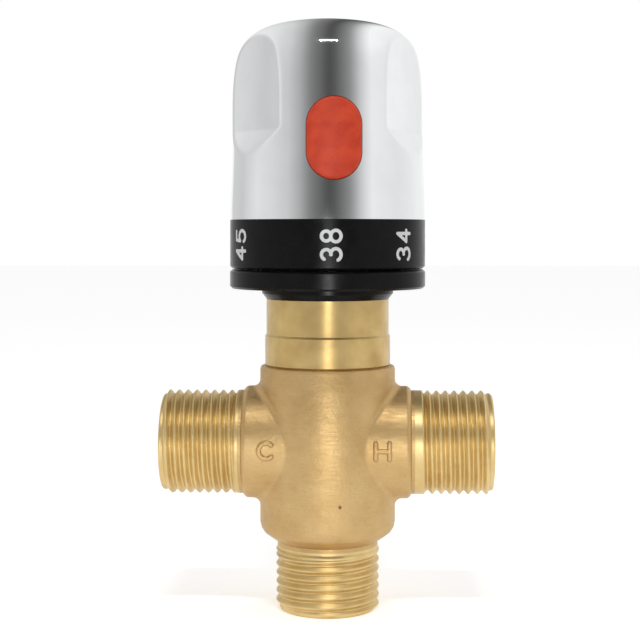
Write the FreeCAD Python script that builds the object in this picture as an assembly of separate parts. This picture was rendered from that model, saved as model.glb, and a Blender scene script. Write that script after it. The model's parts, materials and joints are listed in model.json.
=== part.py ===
import FreeCAD, Part
import math
import os

# Thermostatic mixing valve, millimetres.
# Origin: centre of the mixed outlet's end face. +Z runs up the cartridge axis to the handle,
# +X is the hot inlet, -X the cold inlet, -Y the front. The handle is set on its splines a little
# to the right of the front, so the button, the scallops and both stops are turned by HANDLE_CLOCK.

V = FreeCAD.Vector
UP = V(0, 0, 1)
CENTRE = V(0, 0, 0)

# ---- driving dimensions: forged body ----
THREAD_R = 20.955 / 2          # pipe thread G1/2, major radius
THREAD_CHAMFER = 0.95          # lead-in at each port's end
OUTLET_THREAD_TOP = 12.1
OUTLET_NECK_R = 10.2
OUTLET_NECK_TOP = 13.8
BARREL_R = 13.75
BARREL_BOTTOM = 17.8
BARREL_TOP = 49.4
BARREL_TOP_EDGE = 0.7
ARM_R = 11.35
ARM_SHOULDER_X = 17.0
ARM_SHOULDER_EDGE = 1.1
ARM_BLEND_R = 1.5
STUB_ROOT_X = 10.0             # inside the barrel's wall
PORT_END_X = 33.4
PORT_Z = 33.7
PORT_BORE_R = 7.0
PORT_BORE_FLOOR_X = 15.0
CHAMBER_R = 10.4
CHAMBER_FLOOR = 19.6
COUNTERBORE_R = 11.6
COUNTERBORE_FLOOR = 42.6
UNDER_BARREL = [(11.8, 14.9), (12.9, 15.7), (13.5, 16.6)]   # radius and height, rounded underside
WATERWAY_R = 2.9
WATERWAY_OFFSET = 3.3          # cold enters above the port axis, hot below it

# ---- cartridge nut and what stands on it ----
NUT_STEP_R = 12.75
NUT_STEP_TOP = 55.4
NUT_R = 12.47
NUT_TOP = 62.9
NUT_SPIGOT_R = 11.55
NUT_GROOVE_R = 10.3            # O-ring groove under the nut's flange
NUT_GROOVE_HEIGHT = 2.2
NUT_NECK_R = 9.0
NUT_NECK_TOP = 71.0
NUT_CAVITY_R = 8.6
NUT_CAVITY_TOP = 57.5
COLLAR_R = 13.4
COLLAR_TOP = 65.1
STOP_RING_R = 19.9
STOP_RING_TOP = 68.9
RING_EDGE = 0.45
KEY_COUNT = 4                  # keys between the nut's neck and the stop ring
KEY_WIDTH = 2.0
KEY_DEPTH = 0.8
LOCK_LUG_TOP = 70.9
LOCK_LUG_RADII = (15.0, 12.6)
LOCK_LUG_START = 9.0           # degrees counter-clockwise from the button
LOCK_LUG_SPAN = 12.0
END_STOP_TOP = 71.6
END_STOP_RADII = (17.2, 15.6)
END_STOP_START = 113.5
END_STOP_SPAN = 88.0
STOP_RIB_SPAN = 15.0           # rib in the scale ring that meets the end stop

# ---- cartridge ----
SLEEVE_R = 10.3
SLEEVE_WAIST_R = 9.1
SLEEVE_BORE_R = 7.6
SLEEVE_BOTTOM = 21.8
SLEEVE_TOP = 42.4
SPIDER_HUB_R = 6.2
SPIDER_HOLE_R = 3.9
SPIDER_RIM_R = 8.6
SPIDER_ARM = 1.8
ORING_HEIGHTS = {"lower": 26.6, "middle": PORT_Z, "upper": 40.8}
ORING_CORD = 0.95
ORING_LAND = 0.55
HOT_SEAT_Z = 28.3
COLD_SEAT_Z = 39.0
SEAT_BORE_R = 6.2
COLD_SEAT_BORE_R = 4.6
HOT_GAP = 1.3
COLD_GAP = 0.7
SHUTTLE_BOTTOM = HOT_SEAT_Z + HOT_GAP
SHUTTLE_TOP = COLD_SEAT_Z - COLD_GAP
SHUTTLE_WEB_BOTTOM = 32.6
SHUTTLE_WEB_TOP = 34.8
SHUTTLE_BORE_R = 6.4
SHUTTLE_HOLES = 6
SHUTTLE_ORING_CORD = 0.47
WINDOW_COUNT = 8
WINDOW_WIDTH = 3.6
WINDOW_HEIGHT = 2.6
ELEMENT_R = 3.4
ELEMENT_CUP_R = 2.9
ELEMENT_NECK_R = 2.4
ELEMENT_BOTTOM = 9.6
PIN_R = 1.1
PIN_BOTTOM = 30.0
PIN_TOP = 43.3
RUNNING_GAP = 0.05

# ---- spindle and regulating nut ----
SPINDLE_R = 5.1
SPLINE_R = 4.6
SPLINE_ROOT_R = 4.1
SPLINE_TEETH = 20
SPLINE_BOTTOM = 73.0
SPLINE_TOP = 82.0
SPINDLE_COLLAR_R = 7.6
SPINDLE_COLLAR_BOTTOM = 54.0
SPINDLE_COLLAR_TOP = 57.0
SPINDLE_ORING_HEIGHTS = {"lower": 60.0, "upper": 63.4}
SPINDLE_ORING_CORD = 0.5
CLIP_GROOVE_R = 4.4
CLIP_THICKNESS = 0.9
SCREW_R = 1.85
SCREW_HEAD_R = 3.7
SCREW_HEAD_BOTTOM = 83.0
DRIVE_FLATS = 8.0              # hexagon across flats
REGULATOR_R = 8.55
REGULATOR_BOTTOM = 43.9
REGULATOR_TOP = 53.4
OVERLOAD_ROOM_R = 6.3
OVERLOAD_ROOM_TOP = 49.6
OVERLOAD_FLANGE_R = 6.2
OVERLOAD_FLANGE_TOP = 46.3

# ---- handle ----
HANDLE_CLOCK = 5.8             # degrees that the button stands to the right of the front
SCALE_R = 19.87
SCALE_BOTTOM = 69.15
SCALE_TOP = 79.0
SCALE_WALL = 2.2
SCALE_WEB_BOTTOM = 76.8
SCALE_WEB_TOP = 78.6
SCALE_SPIGOT_TOP = 83.0        # rim that the cap is pressed over
SCALE_RIBS = 6
HUB_R = 7.0
HUB_BOTTOM = 73.4
TOWER_TOP = 99.0
TOWER_BORE_R = 5.4
CAP_WALL = 1.6
CAP_SHOULDER_R = 18.6          # where the wall turns into the crown
CAP_SHOULDER_Z = 111.3
CAP_SHOULDER_LEAN = 0.1        # how much the wall leans in there
CAP_CROWN_R = 10.0             # where the shoulder turns into the shallow crown
CAP_CROWN_Z = 118.65
CAP_CROWN_SLOPE = 0.2
CAP_TOP = CAP_CROWN_Z + CAP_CROWN_SLOPE * CAP_CROWN_R / 2
CAP_BEND_HOLD = 0.56           # share of the shoulder's reach that its tangents hold
SCALLOP_ANGLES = (-30.0, 90.0, 210.0)   # measured from +X; the button faces -90
SCALLOP_DEPTH_R = 16.5         # nearest distance of a scallop's face to the axis
SCALLOP_HOLLOW_R = 60.0
SCALLOP_FLOOR = 96.8
SCALLOP_RUN_OUT = 31.0         # degrees off vertical
SCALLOP_EDGE = 0.8
BUTTON_WIDTH = 10.7
BUTTON_HEIGHT = 16.0
BUTTON_Z = 94.5
BUTTON_FACE_R = 19.95
BUTTON_GAP = 0.3
BUTTON_RIM = 0.8
BUTTON_SPRING_R = 2.0
BUTTON_SPRING_ENDS = (7.8, 13.5)   # distances in front of the axis
LEG_WIDTH = 4.4
TOOTH_CLEARANCE = 0.3          # the tooth rides this far above the lock lug

# ---- inlet check valves, measured along an inlet from the body's centre ----
CHECK_INNER_X = 16.0
CHECK_OUTER_X = 27.0
CHECK_R = 6.9
CHECK_CAVITY_R = 5.6
CHECK_SEAT_X = 24.5
CHECK_SEAT_R = 4.2
POPPET_R = 5.0
POPPET_STEM_R = 1.0
POPPET_BACK_X = 22.9
POPPET_STEM_END_X = 17.4
CHECK_GUIDE_X = 18.4
CHECK_ORING_CORD = 0.67
CHECK_ORING_X = 25.6
STRAINER_OUTER_X = 28.0
STRAINER_HOLE_R = 0.75
STRAINER_CIRCLES = [(6, 2.2), (12, 4.4)]   # hole count and radius of each circle


def cylinder(radius, bottom, top):
    return Part.makeCylinder(radius, top - bottom, V(0, 0, bottom), UP)


def ring(outer, inner, bottom, top):
    return cylinder(outer, bottom, top).cut(cylinder(inner, bottom - 1, top + 1))


def revolve(points, axis_point=CENTRE, degrees=360.0):
    """Turn an outline of (radius, height) points about a vertical axis."""
    outline = Part.makePolygon([V(r, 0, z) for r, z in points + points[:1]])
    return Part.Face(outline).revolve(axis_point, UP, degrees)


def polar(shape, angles):
    """Copies of a shape, turned about the vertical axis."""
    copies = []
    for angle in angles:
        copy = shape.copy()
        copy.rotate(CENTRE, UP, angle)
        copies.append(copy)
    return copies


def even_angles(count, first=0.0):
    return [first + 360.0 * i / count for i in range(count)]


def fuse_all(shapes):
    first = shapes[0]
    rest = shapes[1:]
    return first.fuse(rest).removeSplitter() if rest else first


def along_inlet(shape, side):
    """Lay a shape built on +Z along an inlet: side is +1 for hot and -1 for cold."""
    laid = shape.copy()
    laid.rotate(CENTRE, V(0, 1, 0), 90.0 * side)
    laid.translate(V(0, 0, PORT_Z))
    return laid


def o_ring(cord, outer, height):
    return Part.makeTorus(outer - cord, cord, V(0, 0, height), UP)


def coil_spring(mean_r, wire_r, bottom, top, turns):
    """Open coil of half turns, each a tilted arc that meets the next one squarely."""
    rise = (top - bottom - 2 * wire_r) / (2 * turns)
    halves = []
    for i in range(2 * turns):
        side = 1 if i % 2 == 0 else -1
        start = V(side * mean_r, 0, bottom + wire_r + i * rise)
        end = V(-side * mean_r, 0, start.z + rise)
        tilted_axis = V(side * rise, 0, 2 * mean_r)
        wire_end = Part.Face(Part.Wire(Part.makeCircle(wire_r, start, V(0, 1, 0))))
        halves.append(wire_end.revolve((start + end) / 2, tilted_axis, 180.0))
    return fuse_all(halves)


def circlip(inner, outer, bottom, top, mouth):
    """Open retaining ring with its mouth at +X."""
    gap = Part.makeBox(outer + 1, mouth, top - bottom + 2, V(0, -mouth / 2, bottom - 1))
    return ring(outer, inner, bottom, top).cut(gap)


def hexagon(flats, bottom, top):
    corner_r = flats / math.sqrt(3)
    corners = [
        V(corner_r * math.cos(math.radians(60 * i)), corner_r * math.sin(math.radians(60 * i)), bottom)
        for i in range(7)
    ]
    return Part.Face(Part.makePolygon(corners)).extrude(V(0, 0, top - bottom))


def stadium(width, height, near_y, far_y, centre_z):
    """Upright round-ended bar along Y, between two distances in front of the axis."""
    r = width / 2
    half = height / 2 - r
    left_low = V(-r, 0, -half)
    left_high = V(-r, 0, half)
    right_high = V(r, 0, half)
    right_low = V(r, 0, -half)
    outline = Part.Wire([
        Part.LineSegment(left_low, left_high).toShape(),
        Part.Arc(left_high, V(0, 0, half + r), right_high).toShape(),
        Part.LineSegment(right_high, right_low).toShape(),
        Part.Arc(right_low, V(0, 0, -half - r), left_low).toShape(),
    ])
    bar = Part.Face(outline).extrude(V(0, near_y - far_y, 0))
    bar.translate(V(0, -near_y, centre_z))
    return bar


# ---- forged body ----

def edges_at_radius(shape, radius, tolerance=0.02):
    """Circular edges of one radius."""
    return [
        e for e in shape.Edges
        if hasattr(e.Curve, "Radius") and abs(e.Curve.Radius - radius) < tolerance
    ]


def valve_body():
    end_r = THREAD_R - THREAD_CHAMFER
    barrel = revolve([
        (0, 0),
        (end_r, 0),
        (THREAD_R, THREAD_CHAMFER),
        (THREAD_R, OUTLET_THREAD_TOP - 0.3),
        (OUTLET_NECK_R, OUTLET_THREAD_TOP),
        (OUTLET_NECK_R, OUTLET_NECK_TOP),
        *UNDER_BARREL,
        (BARREL_R, BARREL_BOTTOM),
        (BARREL_R, BARREL_TOP - BARREL_TOP_EDGE),
        (BARREL_R - 0.2, BARREL_TOP - 0.2),
        (BARREL_R - BARREL_TOP_EDGE, BARREL_TOP),
        (0, BARREL_TOP),
    ])
    arms = cylinder(ARM_R, -ARM_SHOULDER_X, ARM_SHOULDER_X)
    arms = arms.makeFillet(ARM_SHOULDER_EDGE, edges_at_radius(arms, ARM_R))
    forging = barrel.fuse(along_inlet(arms, 1))
    blend = [e for e in forging.Edges if not hasattr(e.Curve, "Radius") and 5 < e.BoundBox.ZMin < 40
             and e.BoundBox.YLength > 5 and e.BoundBox.ZLength > 5]
    forging = forging.makeFillet(ARM_BLEND_R, blend)
    stub = revolve([
        (0, STUB_ROOT_X),
        (THREAD_R, STUB_ROOT_X),
        (THREAD_R, PORT_END_X - THREAD_CHAMFER),
        (end_r, PORT_END_X),
        (0, PORT_END_X),
    ])
    bore = cylinder(PORT_BORE_R, PORT_BORE_FLOOR_X, PORT_END_X + 1)
    waterway = cylinder(WATERWAY_R, CHAMBER_R - 2, PORT_BORE_FLOOR_X + 1)
    cuts = [
        cylinder(PORT_BORE_R, -1, CHAMBER_FLOOR + 1),
        cylinder(CHAMBER_R, CHAMBER_FLOOR, BARREL_TOP),
        cylinder(COUNTERBORE_R, COUNTERBORE_FLOOR, BARREL_TOP + 1),
    ]
    for side in (1, -1):
        forging = forging.fuse(along_inlet(stub, side))
        passage = along_inlet(waterway, side)
        passage.translate(V(0, 0, -side * WATERWAY_OFFSET))
        cuts += [along_inlet(bore, side), passage]
    return forging.cut(cuts).removeSplitter()


# ---- cartridge nut, collar and stop ring ----

def cartridge_nut():
    outside = revolve([
        (0, COUNTERBORE_FLOOR + 0.1),
        (NUT_SPIGOT_R - 0.5, COUNTERBORE_FLOOR + 0.1),
        (NUT_SPIGOT_R, COUNTERBORE_FLOOR + 0.6),
        (NUT_SPIGOT_R, BARREL_TOP - NUT_GROOVE_HEIGHT),
        (NUT_GROOVE_R, BARREL_TOP - NUT_GROOVE_HEIGHT),
        (NUT_GROOVE_R, BARREL_TOP),
        (NUT_STEP_R - 0.3, BARREL_TOP),
        (NUT_STEP_R, BARREL_TOP + 0.3),
        (NUT_STEP_R, NUT_STEP_TOP),
        (NUT_R, NUT_STEP_TOP + 0.4),
        (NUT_R, NUT_TOP),
        (NUT_NECK_R, NUT_TOP),
        (NUT_NECK_R, NUT_NECK_TOP - 0.5),
        (NUT_NECK_R - 0.5, NUT_NECK_TOP),
        (0, NUT_NECK_TOP),
    ])
    cavity = cylinder(NUT_CAVITY_R, COUNTERBORE_FLOOR, NUT_CAVITY_TOP)
    neck = cylinder(SPINDLE_R + RUNNING_GAP, NUT_CAVITY_TOP - 1, NUT_NECK_TOP + 1)
    return outside.cut([cavity, neck] + stop_ring_keys(NUT_NECK_TOP + 1))


def stop_ring_keys(top):
    """Keys that hold the stop ring from turning, or the slots for them in the neck."""
    corner = V(NUT_NECK_R - KEY_DEPTH, -KEY_WIDTH / 2, COLLAR_TOP)
    key = Part.makeBox(2 * KEY_DEPTH, KEY_WIDTH, top - COLLAR_TOP, corner)
    return polar(key, even_angles(KEY_COUNT, 45.0))


def stop_collar():
    """Black sleeve pressed on the neck, under the stop ring."""
    return revolve([
        (NUT_NECK_R, NUT_TOP),
        (NUT_R - RUNNING_GAP, NUT_TOP),
        (COLLAR_R, NUT_TOP + 1.2),
        (COLLAR_R, COLLAR_TOP),
        (NUT_NECK_R, COLLAR_TOP),
    ])


def arc_block(radii, bottom, top, start, span):
    """Part of a ring between two radii: start and span are degrees counter-clockwise from the front."""
    outer, inner = radii
    block = revolve([(inner, bottom), (outer, bottom), (outer, top), (inner, top)], CENTRE, span)
    block.rotate(CENTRE, UP, start - 90.0)
    return block


def stop_ring():
    """Fixed ring: an end stop behind, and the lug that holds the button's tooth."""
    disc = revolve([
        (NUT_NECK_R, COLLAR_TOP),
        (STOP_RING_R - RING_EDGE, COLLAR_TOP),
        (STOP_RING_R, COLLAR_TOP + RING_EDGE),
        (STOP_RING_R, STOP_RING_TOP - RING_EDGE),
        (STOP_RING_R - RING_EDGE, STOP_RING_TOP),
        (NUT_NECK_R, STOP_RING_TOP),
    ])
    root = STOP_RING_TOP - 0.5
    end_stop = arc_block(END_STOP_RADII, root, END_STOP_TOP, HANDLE_CLOCK + END_STOP_START, END_STOP_SPAN)
    lock_lug = arc_block(LOCK_LUG_RADII, root, LOCK_LUG_TOP, HANDLE_CLOCK + LOCK_LUG_START, LOCK_LUG_SPAN)
    return fuse_all([disc, end_stop, lock_lug] + stop_ring_keys(STOP_RING_TOP))


# ---- cartridge: sleeve, seats, shuttle and wax element ----

def cartridge_sleeve():
    """Ported sleeve: O-ring grooves part the hot, cold and mixed zones."""
    groove_r = CHAMBER_R - 2 * ORING_CORD
    outline = [(SLEEVE_BORE_R, SLEEVE_BOTTOM), (SLEEVE_R, SLEEVE_BOTTOM)]
    waists = {"lower": True, "middle": True, "upper": False}
    for name, height in ORING_HEIGHTS.items():
        land = ORING_CORD + ORING_LAND
        outline += [
            (SLEEVE_R, height - ORING_CORD),
            (groove_r, height - ORING_CORD),
            (groove_r, height + ORING_CORD),
            (SLEEVE_R, height + ORING_CORD),
        ]
        if waists[name]:
            following = PORT_Z if name == "lower" else ORING_HEIGHTS["upper"]
            outline += [
                (SLEEVE_R, height + land),
                (SLEEVE_WAIST_R, height + land + 0.5),
                (SLEEVE_WAIST_R, following - land - 0.5),
                (SLEEVE_R, following - land),
            ]
    outline += [(SLEEVE_R, SLEEVE_TOP), (SLEEVE_BORE_R, SLEEVE_TOP)]
    sleeve = revolve(outline)
    windows = []
    for low in (HOT_SEAT_Z, COLD_SEAT_Z - WINDOW_HEIGHT):
        slot = Part.makeBox(6, WINDOW_WIDTH, WINDOW_HEIGHT, V(6, -WINDOW_WIDTH / 2, low))
        windows += polar(slot, even_angles(WINDOW_COUNT))
    return sleeve.cut(windows)


def sleeve_o_ring(name):
    return o_ring(ORING_CORD, CHAMBER_R, ORING_HEIGHTS[name])


def spring_spider():
    """Three-armed ring on the chamber floor that carries the return spring."""
    rim = ring(SLEEVE_R, SPIDER_RIM_R, CHAMBER_FLOOR, SLEEVE_BOTTOM)
    hub = ring(SPIDER_HUB_R, SPIDER_HOLE_R, CHAMBER_FLOOR, SLEEVE_BOTTOM)
    corner = V(SPIDER_HUB_R - 1.0, -SPIDER_ARM / 2, CHAMBER_FLOOR)
    arm = Part.makeBox(4.0, SPIDER_ARM, SLEEVE_BOTTOM - CHAMBER_FLOOR, corner)
    return fuse_all([rim, hub] + polar(arm, even_angles(3)))


def hot_seat():
    return revolve([
        (SEAT_BORE_R, HOT_SEAT_Z - 2.6),
        (SLEEVE_BORE_R, HOT_SEAT_Z - 2.6),
        (SLEEVE_BORE_R, HOT_SEAT_Z - 0.4),
        (SLEEVE_BORE_R - 0.4, HOT_SEAT_Z),
        (SEAT_BORE_R + 0.4, HOT_SEAT_Z),
        (SEAT_BORE_R, HOT_SEAT_Z - 0.6),
    ])


def cold_seat():
    return revolve([
        (SEAT_BORE_R + 0.4, COLD_SEAT_Z),
        (SLEEVE_BORE_R - 0.4, COLD_SEAT_Z),
        (SLEEVE_BORE_R, COLD_SEAT_Z + 0.4),
        (SLEEVE_BORE_R, SLEEVE_TOP),
        (COLD_SEAT_BORE_R, SLEEVE_TOP),
        (COLD_SEAT_BORE_R, SLEEVE_TOP - 1.4),
    ])


def shuttle():
    """Sliding valve: its lower edge meters hot water and its upper edge cold."""
    outside_r = SLEEVE_BORE_R - RUNNING_GAP
    groove_r = outside_r - 2 * SHUTTLE_ORING_CORD
    shell = revolve([
        (SHUTTLE_BORE_R, SHUTTLE_BOTTOM),
        (outside_r, SHUTTLE_BOTTOM),
        (outside_r, PORT_Z - 0.6),
        (groove_r, PORT_Z - 0.6),
        (groove_r, PORT_Z + 0.6),
        (outside_r, PORT_Z + 0.6),
        (outside_r, SHUTTLE_TOP),
        (SHUTTLE_BORE_R, SHUTTLE_TOP),
        (SHUTTLE_BORE_R - 0.4, SHUTTLE_WEB_TOP),
        (ELEMENT_NECK_R, SHUTTLE_WEB_TOP),
        (ELEMENT_NECK_R, SHUTTLE_WEB_BOTTOM),
        (SHUTTLE_BORE_R - 0.4, SHUTTLE_WEB_BOTTOM),
    ])
    hole = cylinder(0.9, SHUTTLE_WEB_BOTTOM - 1, SHUTTLE_WEB_TOP + 1)
    hole.translate(V(4.3, 0, 0))
    return shell.cut(polar(hole, even_angles(SHUTTLE_HOLES, 30.0)))


def shuttle_o_ring():
    return o_ring(SHUTTLE_ORING_CORD, SLEEVE_BORE_R - 0.03, PORT_Z)


def wax_element():
    """Wax-filled cup hanging in the mixed water, with its guide neck through the shuttle's web."""
    cup = revolve([
        (0, ELEMENT_BOTTOM),
        (ELEMENT_CUP_R - 0.5, ELEMENT_BOTTOM),
        (ELEMENT_CUP_R, ELEMENT_BOTTOM + 0.5),
        (ELEMENT_CUP_R, 24.0),
        (ELEMENT_R, 24.6),
        (ELEMENT_R, SHUTTLE_WEB_BOTTOM),
        (ELEMENT_NECK_R, SHUTTLE_WEB_BOTTOM),
        (ELEMENT_NECK_R, SHUTTLE_WEB_TOP + 1.6),
        (2.0, SHUTTLE_WEB_TOP + 2.0),
        (0, SHUTTLE_WEB_TOP + 2.0),
    ])
    return cup.cut(cylinder(PIN_R + RUNNING_GAP, PIN_BOTTOM - 3.0, SHUTTLE_WEB_TOP + 5.0))


def element_pin():
    return cylinder(PIN_R, PIN_BOTTOM, PIN_TOP)


def return_spring():
    return coil_spring(5.15, 0.45, SLEEVE_BOTTOM, SHUTTLE_WEB_BOTTOM, 5)


# ---- regulating nut with its overload spring ----

def regulating_nut():
    """Screws up and down inside the cartridge nut, turned by the spindle's hexagon."""
    block = revolve([
        (0, REGULATOR_BOTTOM),
        (REGULATOR_R - 0.5, REGULATOR_BOTTOM),
        (REGULATOR_R, REGULATOR_BOTTOM + 0.5),
        (REGULATOR_R, REGULATOR_TOP - 0.5),
        (REGULATOR_R - 0.5, REGULATOR_TOP),
        (0, REGULATOR_TOP),
    ])
    spring_room = cylinder(OVERLOAD_ROOM_R, REGULATOR_BOTTOM - 1, OVERLOAD_ROOM_TOP)
    socket = hexagon(DRIVE_FLATS + 0.1, OVERLOAD_ROOM_TOP - 0.6, REGULATOR_TOP + 1)
    groove = cylinder(6.9, 44.5, 45.3)
    return block.cut([spring_room, socket, groove])


def overload_plunger():
    return revolve([
        (0, PIN_TOP),
        (2.6, PIN_TOP),
        (3.0, OVERLOAD_FLANGE_TOP - 1.0),
        (OVERLOAD_FLANGE_R, OVERLOAD_FLANGE_TOP - 1.0),
        (OVERLOAD_FLANGE_R, OVERLOAD_FLANGE_TOP),
        (2.6, OVERLOAD_FLANGE_TOP),
        (2.2, 48.3),
        (0, 48.3),
    ])


def overload_clip():
    return circlip(4.4, 6.85, 44.55, 45.25, 3.0)


def overload_spring():
    return coil_spring(4.9, 0.6, OVERLOAD_FLANGE_TOP, OVERLOAD_ROOM_TOP, 2)


# ---- spindle ----

def spindle():
    """Splined stem: hexagon below, thrust collar, O-ring grooves, clip groove, tapped top."""
    outline = [
        (0, SPINDLE_COLLAR_BOTTOM),
        (SPINDLE_COLLAR_R - 0.4, SPINDLE_COLLAR_BOTTOM),
        (SPINDLE_COLLAR_R, SPINDLE_COLLAR_BOTTOM + 0.4),
        (SPINDLE_COLLAR_R, SPINDLE_COLLAR_TOP),
        (SPINDLE_R, SPINDLE_COLLAR_TOP),
    ]
    for height in SPINDLE_ORING_HEIGHTS.values():
        outline += [
            (SPINDLE_R, height - 0.9),
            (SPINDLE_R - 1.0, height - 0.9),
            (SPINDLE_R - 1.0, height + 0.9),
            (SPINDLE_R, height + 0.9),
        ]
    outline += [
        (SPINDLE_R, NUT_NECK_TOP + 0.15),
        (CLIP_GROOVE_R, NUT_NECK_TOP + 0.15),
        (CLIP_GROOVE_R, NUT_NECK_TOP + 1.15),
        (SPINDLE_R, NUT_NECK_TOP + 1.15),
        (SPINDLE_R, SPLINE_BOTTOM),
        (SPLINE_R, SPLINE_BOTTOM + 0.3),
        (SPLINE_R, SPLINE_TOP - 0.5),
        (SPLINE_ROOT_R, SPLINE_TOP),
        (0, SPLINE_TOP),
    ]
    stem = revolve(outline).fuse(hexagon(DRIVE_FLATS, 51.0, SPINDLE_COLLAR_BOTTOM + 0.2))
    tooth_gap = Part.makePolygon([
        V(SPLINE_ROOT_R, 0, SPLINE_BOTTOM + 0.6),
        V(SPLINE_R + 0.6, 0.62, SPLINE_BOTTOM + 0.6),
        V(SPLINE_R + 0.6, -0.62, SPLINE_BOTTOM + 0.6),
        V(SPLINE_ROOT_R, 0, SPLINE_BOTTOM + 0.6),
    ])
    gap = Part.Face(tooth_gap).extrude(V(0, 0, SPLINE_TOP - SPLINE_BOTTOM))
    tapping = cylinder(SCREW_R + RUNNING_GAP, SPLINE_TOP - 9.0, SPLINE_TOP + 1)
    return stem.cut(polar(gap, even_angles(SPLINE_TEETH)) + [tapping])


def spindle_o_ring(height):
    return o_ring(SPINDLE_ORING_CORD, SPINDLE_R + 0.03, height)


def spindle_clip():
    bottom = NUT_NECK_TOP + 0.2
    return circlip(CLIP_GROOVE_R, 6.8, bottom, bottom + CLIP_THICKNESS, 2.6)


def thrust_washer():
    return ring(8.3, SPINDLE_R + 0.15, SPINDLE_COLLAR_TOP + RUNNING_GAP, NUT_CAVITY_TOP)


# ---- handle ----

def scale_ring():
    """Black inner handle: the numbered skirt, web, splined hub and screw tower in one moulding."""
    skirt_r = SCALE_R - SCALE_WALL
    bore_r = SPLINE_R + RUNNING_GAP
    moulding = revolve([
        (bore_r, HUB_BOTTOM),
        (HUB_R, HUB_BOTTOM),
        (HUB_R + 0.6, SCALE_WEB_BOTTOM),
        (skirt_r, SCALE_WEB_BOTTOM),
        (skirt_r, SCALE_BOTTOM),
        (SCALE_R - RING_EDGE, SCALE_BOTTOM),
        (SCALE_R, SCALE_BOTTOM + RING_EDGE),
        (SCALE_R, SCALE_TOP),
        (18.0, SCALE_TOP),
        (17.8, SCALE_SPIGOT_TOP),
        (16.2, SCALE_SPIGOT_TOP),
        (16.2, SCALE_WEB_TOP),
        (HUB_R, SCALE_WEB_TOP),
        (HUB_R, TOWER_TOP),
        (TOWER_BORE_R, TOWER_TOP),
        (TOWER_BORE_R, SPLINE_TOP + 0.2),
        (2.2, SPLINE_TOP + 0.2),
        (2.2, SPLINE_TOP + RUNNING_GAP),
        (bore_r, SPLINE_TOP + RUNNING_GAP),
    ])
    rib = Part.makeBox(10.2, 1.4, 4.0, V(HUB_R - 0.5, -0.7, SCALE_WEB_TOP - 0.2))
    ribs = polar(rib, even_angles(SCALE_RIBS))
    stop_rib_radii = (skirt_r + 0.3, END_STOP_RADII[1])
    stop_rib = arc_block(stop_rib_radii, STOP_RING_TOP + 0.6, 77.0, -STOP_RIB_SPAN / 2, STOP_RIB_SPAN)
    seat_y = -BUTTON_SPRING_ENDS[0]
    pocket_r = BUTTON_SPRING_R + 0.5
    spring_boss = Part.makeCylinder(pocket_r + 0.7, 4.4, V(0, seat_y + 1.6, BUTTON_Z), V(0, -1, 0))
    spring_pocket = Part.makeCylinder(pocket_r, 4.0, V(0, seat_y, BUTTON_Z), V(0, -1, 0))
    leg_slot = Part.makeBox(6.0, 6.6, 14.0, V(-3.0, -15.2, 70.0))
    window = Part.makeBox(9.0, 4.0, 5.0, V(-4.5, -19.0, SCALE_TOP + 0.2))
    body = fuse_all([moulding] + ribs + [stop_rib, spring_boss])
    return body.cut([spring_pocket, leg_slot, window])


def cap_profile(inset):
    """Half outline of the cap: tapered wall, full shoulder, shallow crown."""
    wall = Part.BSplineCurve()
    wall.interpolate([
        V(19.82 - inset, 0, SCALE_TOP),
        V(19.6 - inset, 0, 87.0),
        V(19.4 - inset, 0, 96.0),
        V(19.35 - inset, 0, 104.5),
        V(CAP_SHOULDER_R - inset, 0, CAP_SHOULDER_Z),
    ])
    corner_r = CAP_SHOULDER_R - inset
    crown_z = CAP_CROWN_Z - inset
    hold_out = CAP_BEND_HOLD * (corner_r - CAP_CROWN_R)
    hold_up = CAP_BEND_HOLD * (crown_z - CAP_SHOULDER_Z)
    shoulder = Part.BezierCurve()
    shoulder.setPoles([
        V(corner_r, 0, CAP_SHOULDER_Z),
        V(corner_r - CAP_SHOULDER_LEAN * hold_up, 0, CAP_SHOULDER_Z + hold_up),
        V(CAP_CROWN_R + hold_out, 0, crown_z - CAP_CROWN_SLOPE * hold_out),
        V(CAP_CROWN_R, 0, crown_z),
    ])
    top = V(0, 0, CAP_TOP - inset)
    crown = Part.BezierCurve()
    crown.setPoles([V(CAP_CROWN_R, 0, crown_z), V(CAP_CROWN_R / 2, 0, top.z), top])
    return [wall.toShape(), shoulder.toShape(), crown.toShape()]


def cap_solid(inset):
    """The cap's outer form, or its inside when inset by the wall, with the three finger scallops."""
    edges = cap_profile(inset)
    start = edges[0].Vertexes[0].Point
    end = V(0, 0, CAP_TOP - inset)
    edges.append(Part.makeLine(end, V(0, 0, start.z)))
    edges.append(Part.makeLine(V(0, 0, start.z), start))
    dome = Part.Face(Part.Wire(Part.__sortEdges__(edges))).revolve(CENTRE, UP, 360)
    face_r = SCALLOP_DEPTH_R - inset
    slope = math.tan(math.radians(SCALLOP_RUN_OUT))
    floor_z = SCALLOP_FLOOR - inset * 0.6
    reach = 9.0
    outline = [
        (face_r, floor_z),
        (face_r + reach, floor_z - reach / slope),
        (face_r + reach, 130.0),
        (face_r, 130.0),
    ]
    hollow_axis = V(face_r + SCALLOP_HOLLOW_R, 0, 0)
    cutter = revolve(outline, hollow_axis, 40.0)
    cutter.rotate(hollow_axis, UP, -20.0)
    return dome.cut(polar(cutter, SCALLOP_ANGLES))


def rounded(shape, radius, wanted):
    """Fillet the wanted edges."""
    return shape.makeFillet(radius, [e for e in shape.Edges if wanted(e)])


def is_scallop_side(edge):
    box = edge.BoundBox
    return box.ZMin > SCALLOP_FLOOR - 1 and box.ZLength > 8


def handle_cap():
    """Chrome shell with three finger scallops and the button's window."""
    outside = rounded(cap_solid(0.0), SCALLOP_EDGE, is_scallop_side)
    shell = outside.cut(cap_solid(CAP_WALL))
    window = stadium(BUTTON_WIDTH + 2 * BUTTON_GAP, BUTTON_HEIGHT + 2 * BUTTON_GAP, 24.0, 10.0, BUTTON_Z)
    return shell.cut(window)


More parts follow.
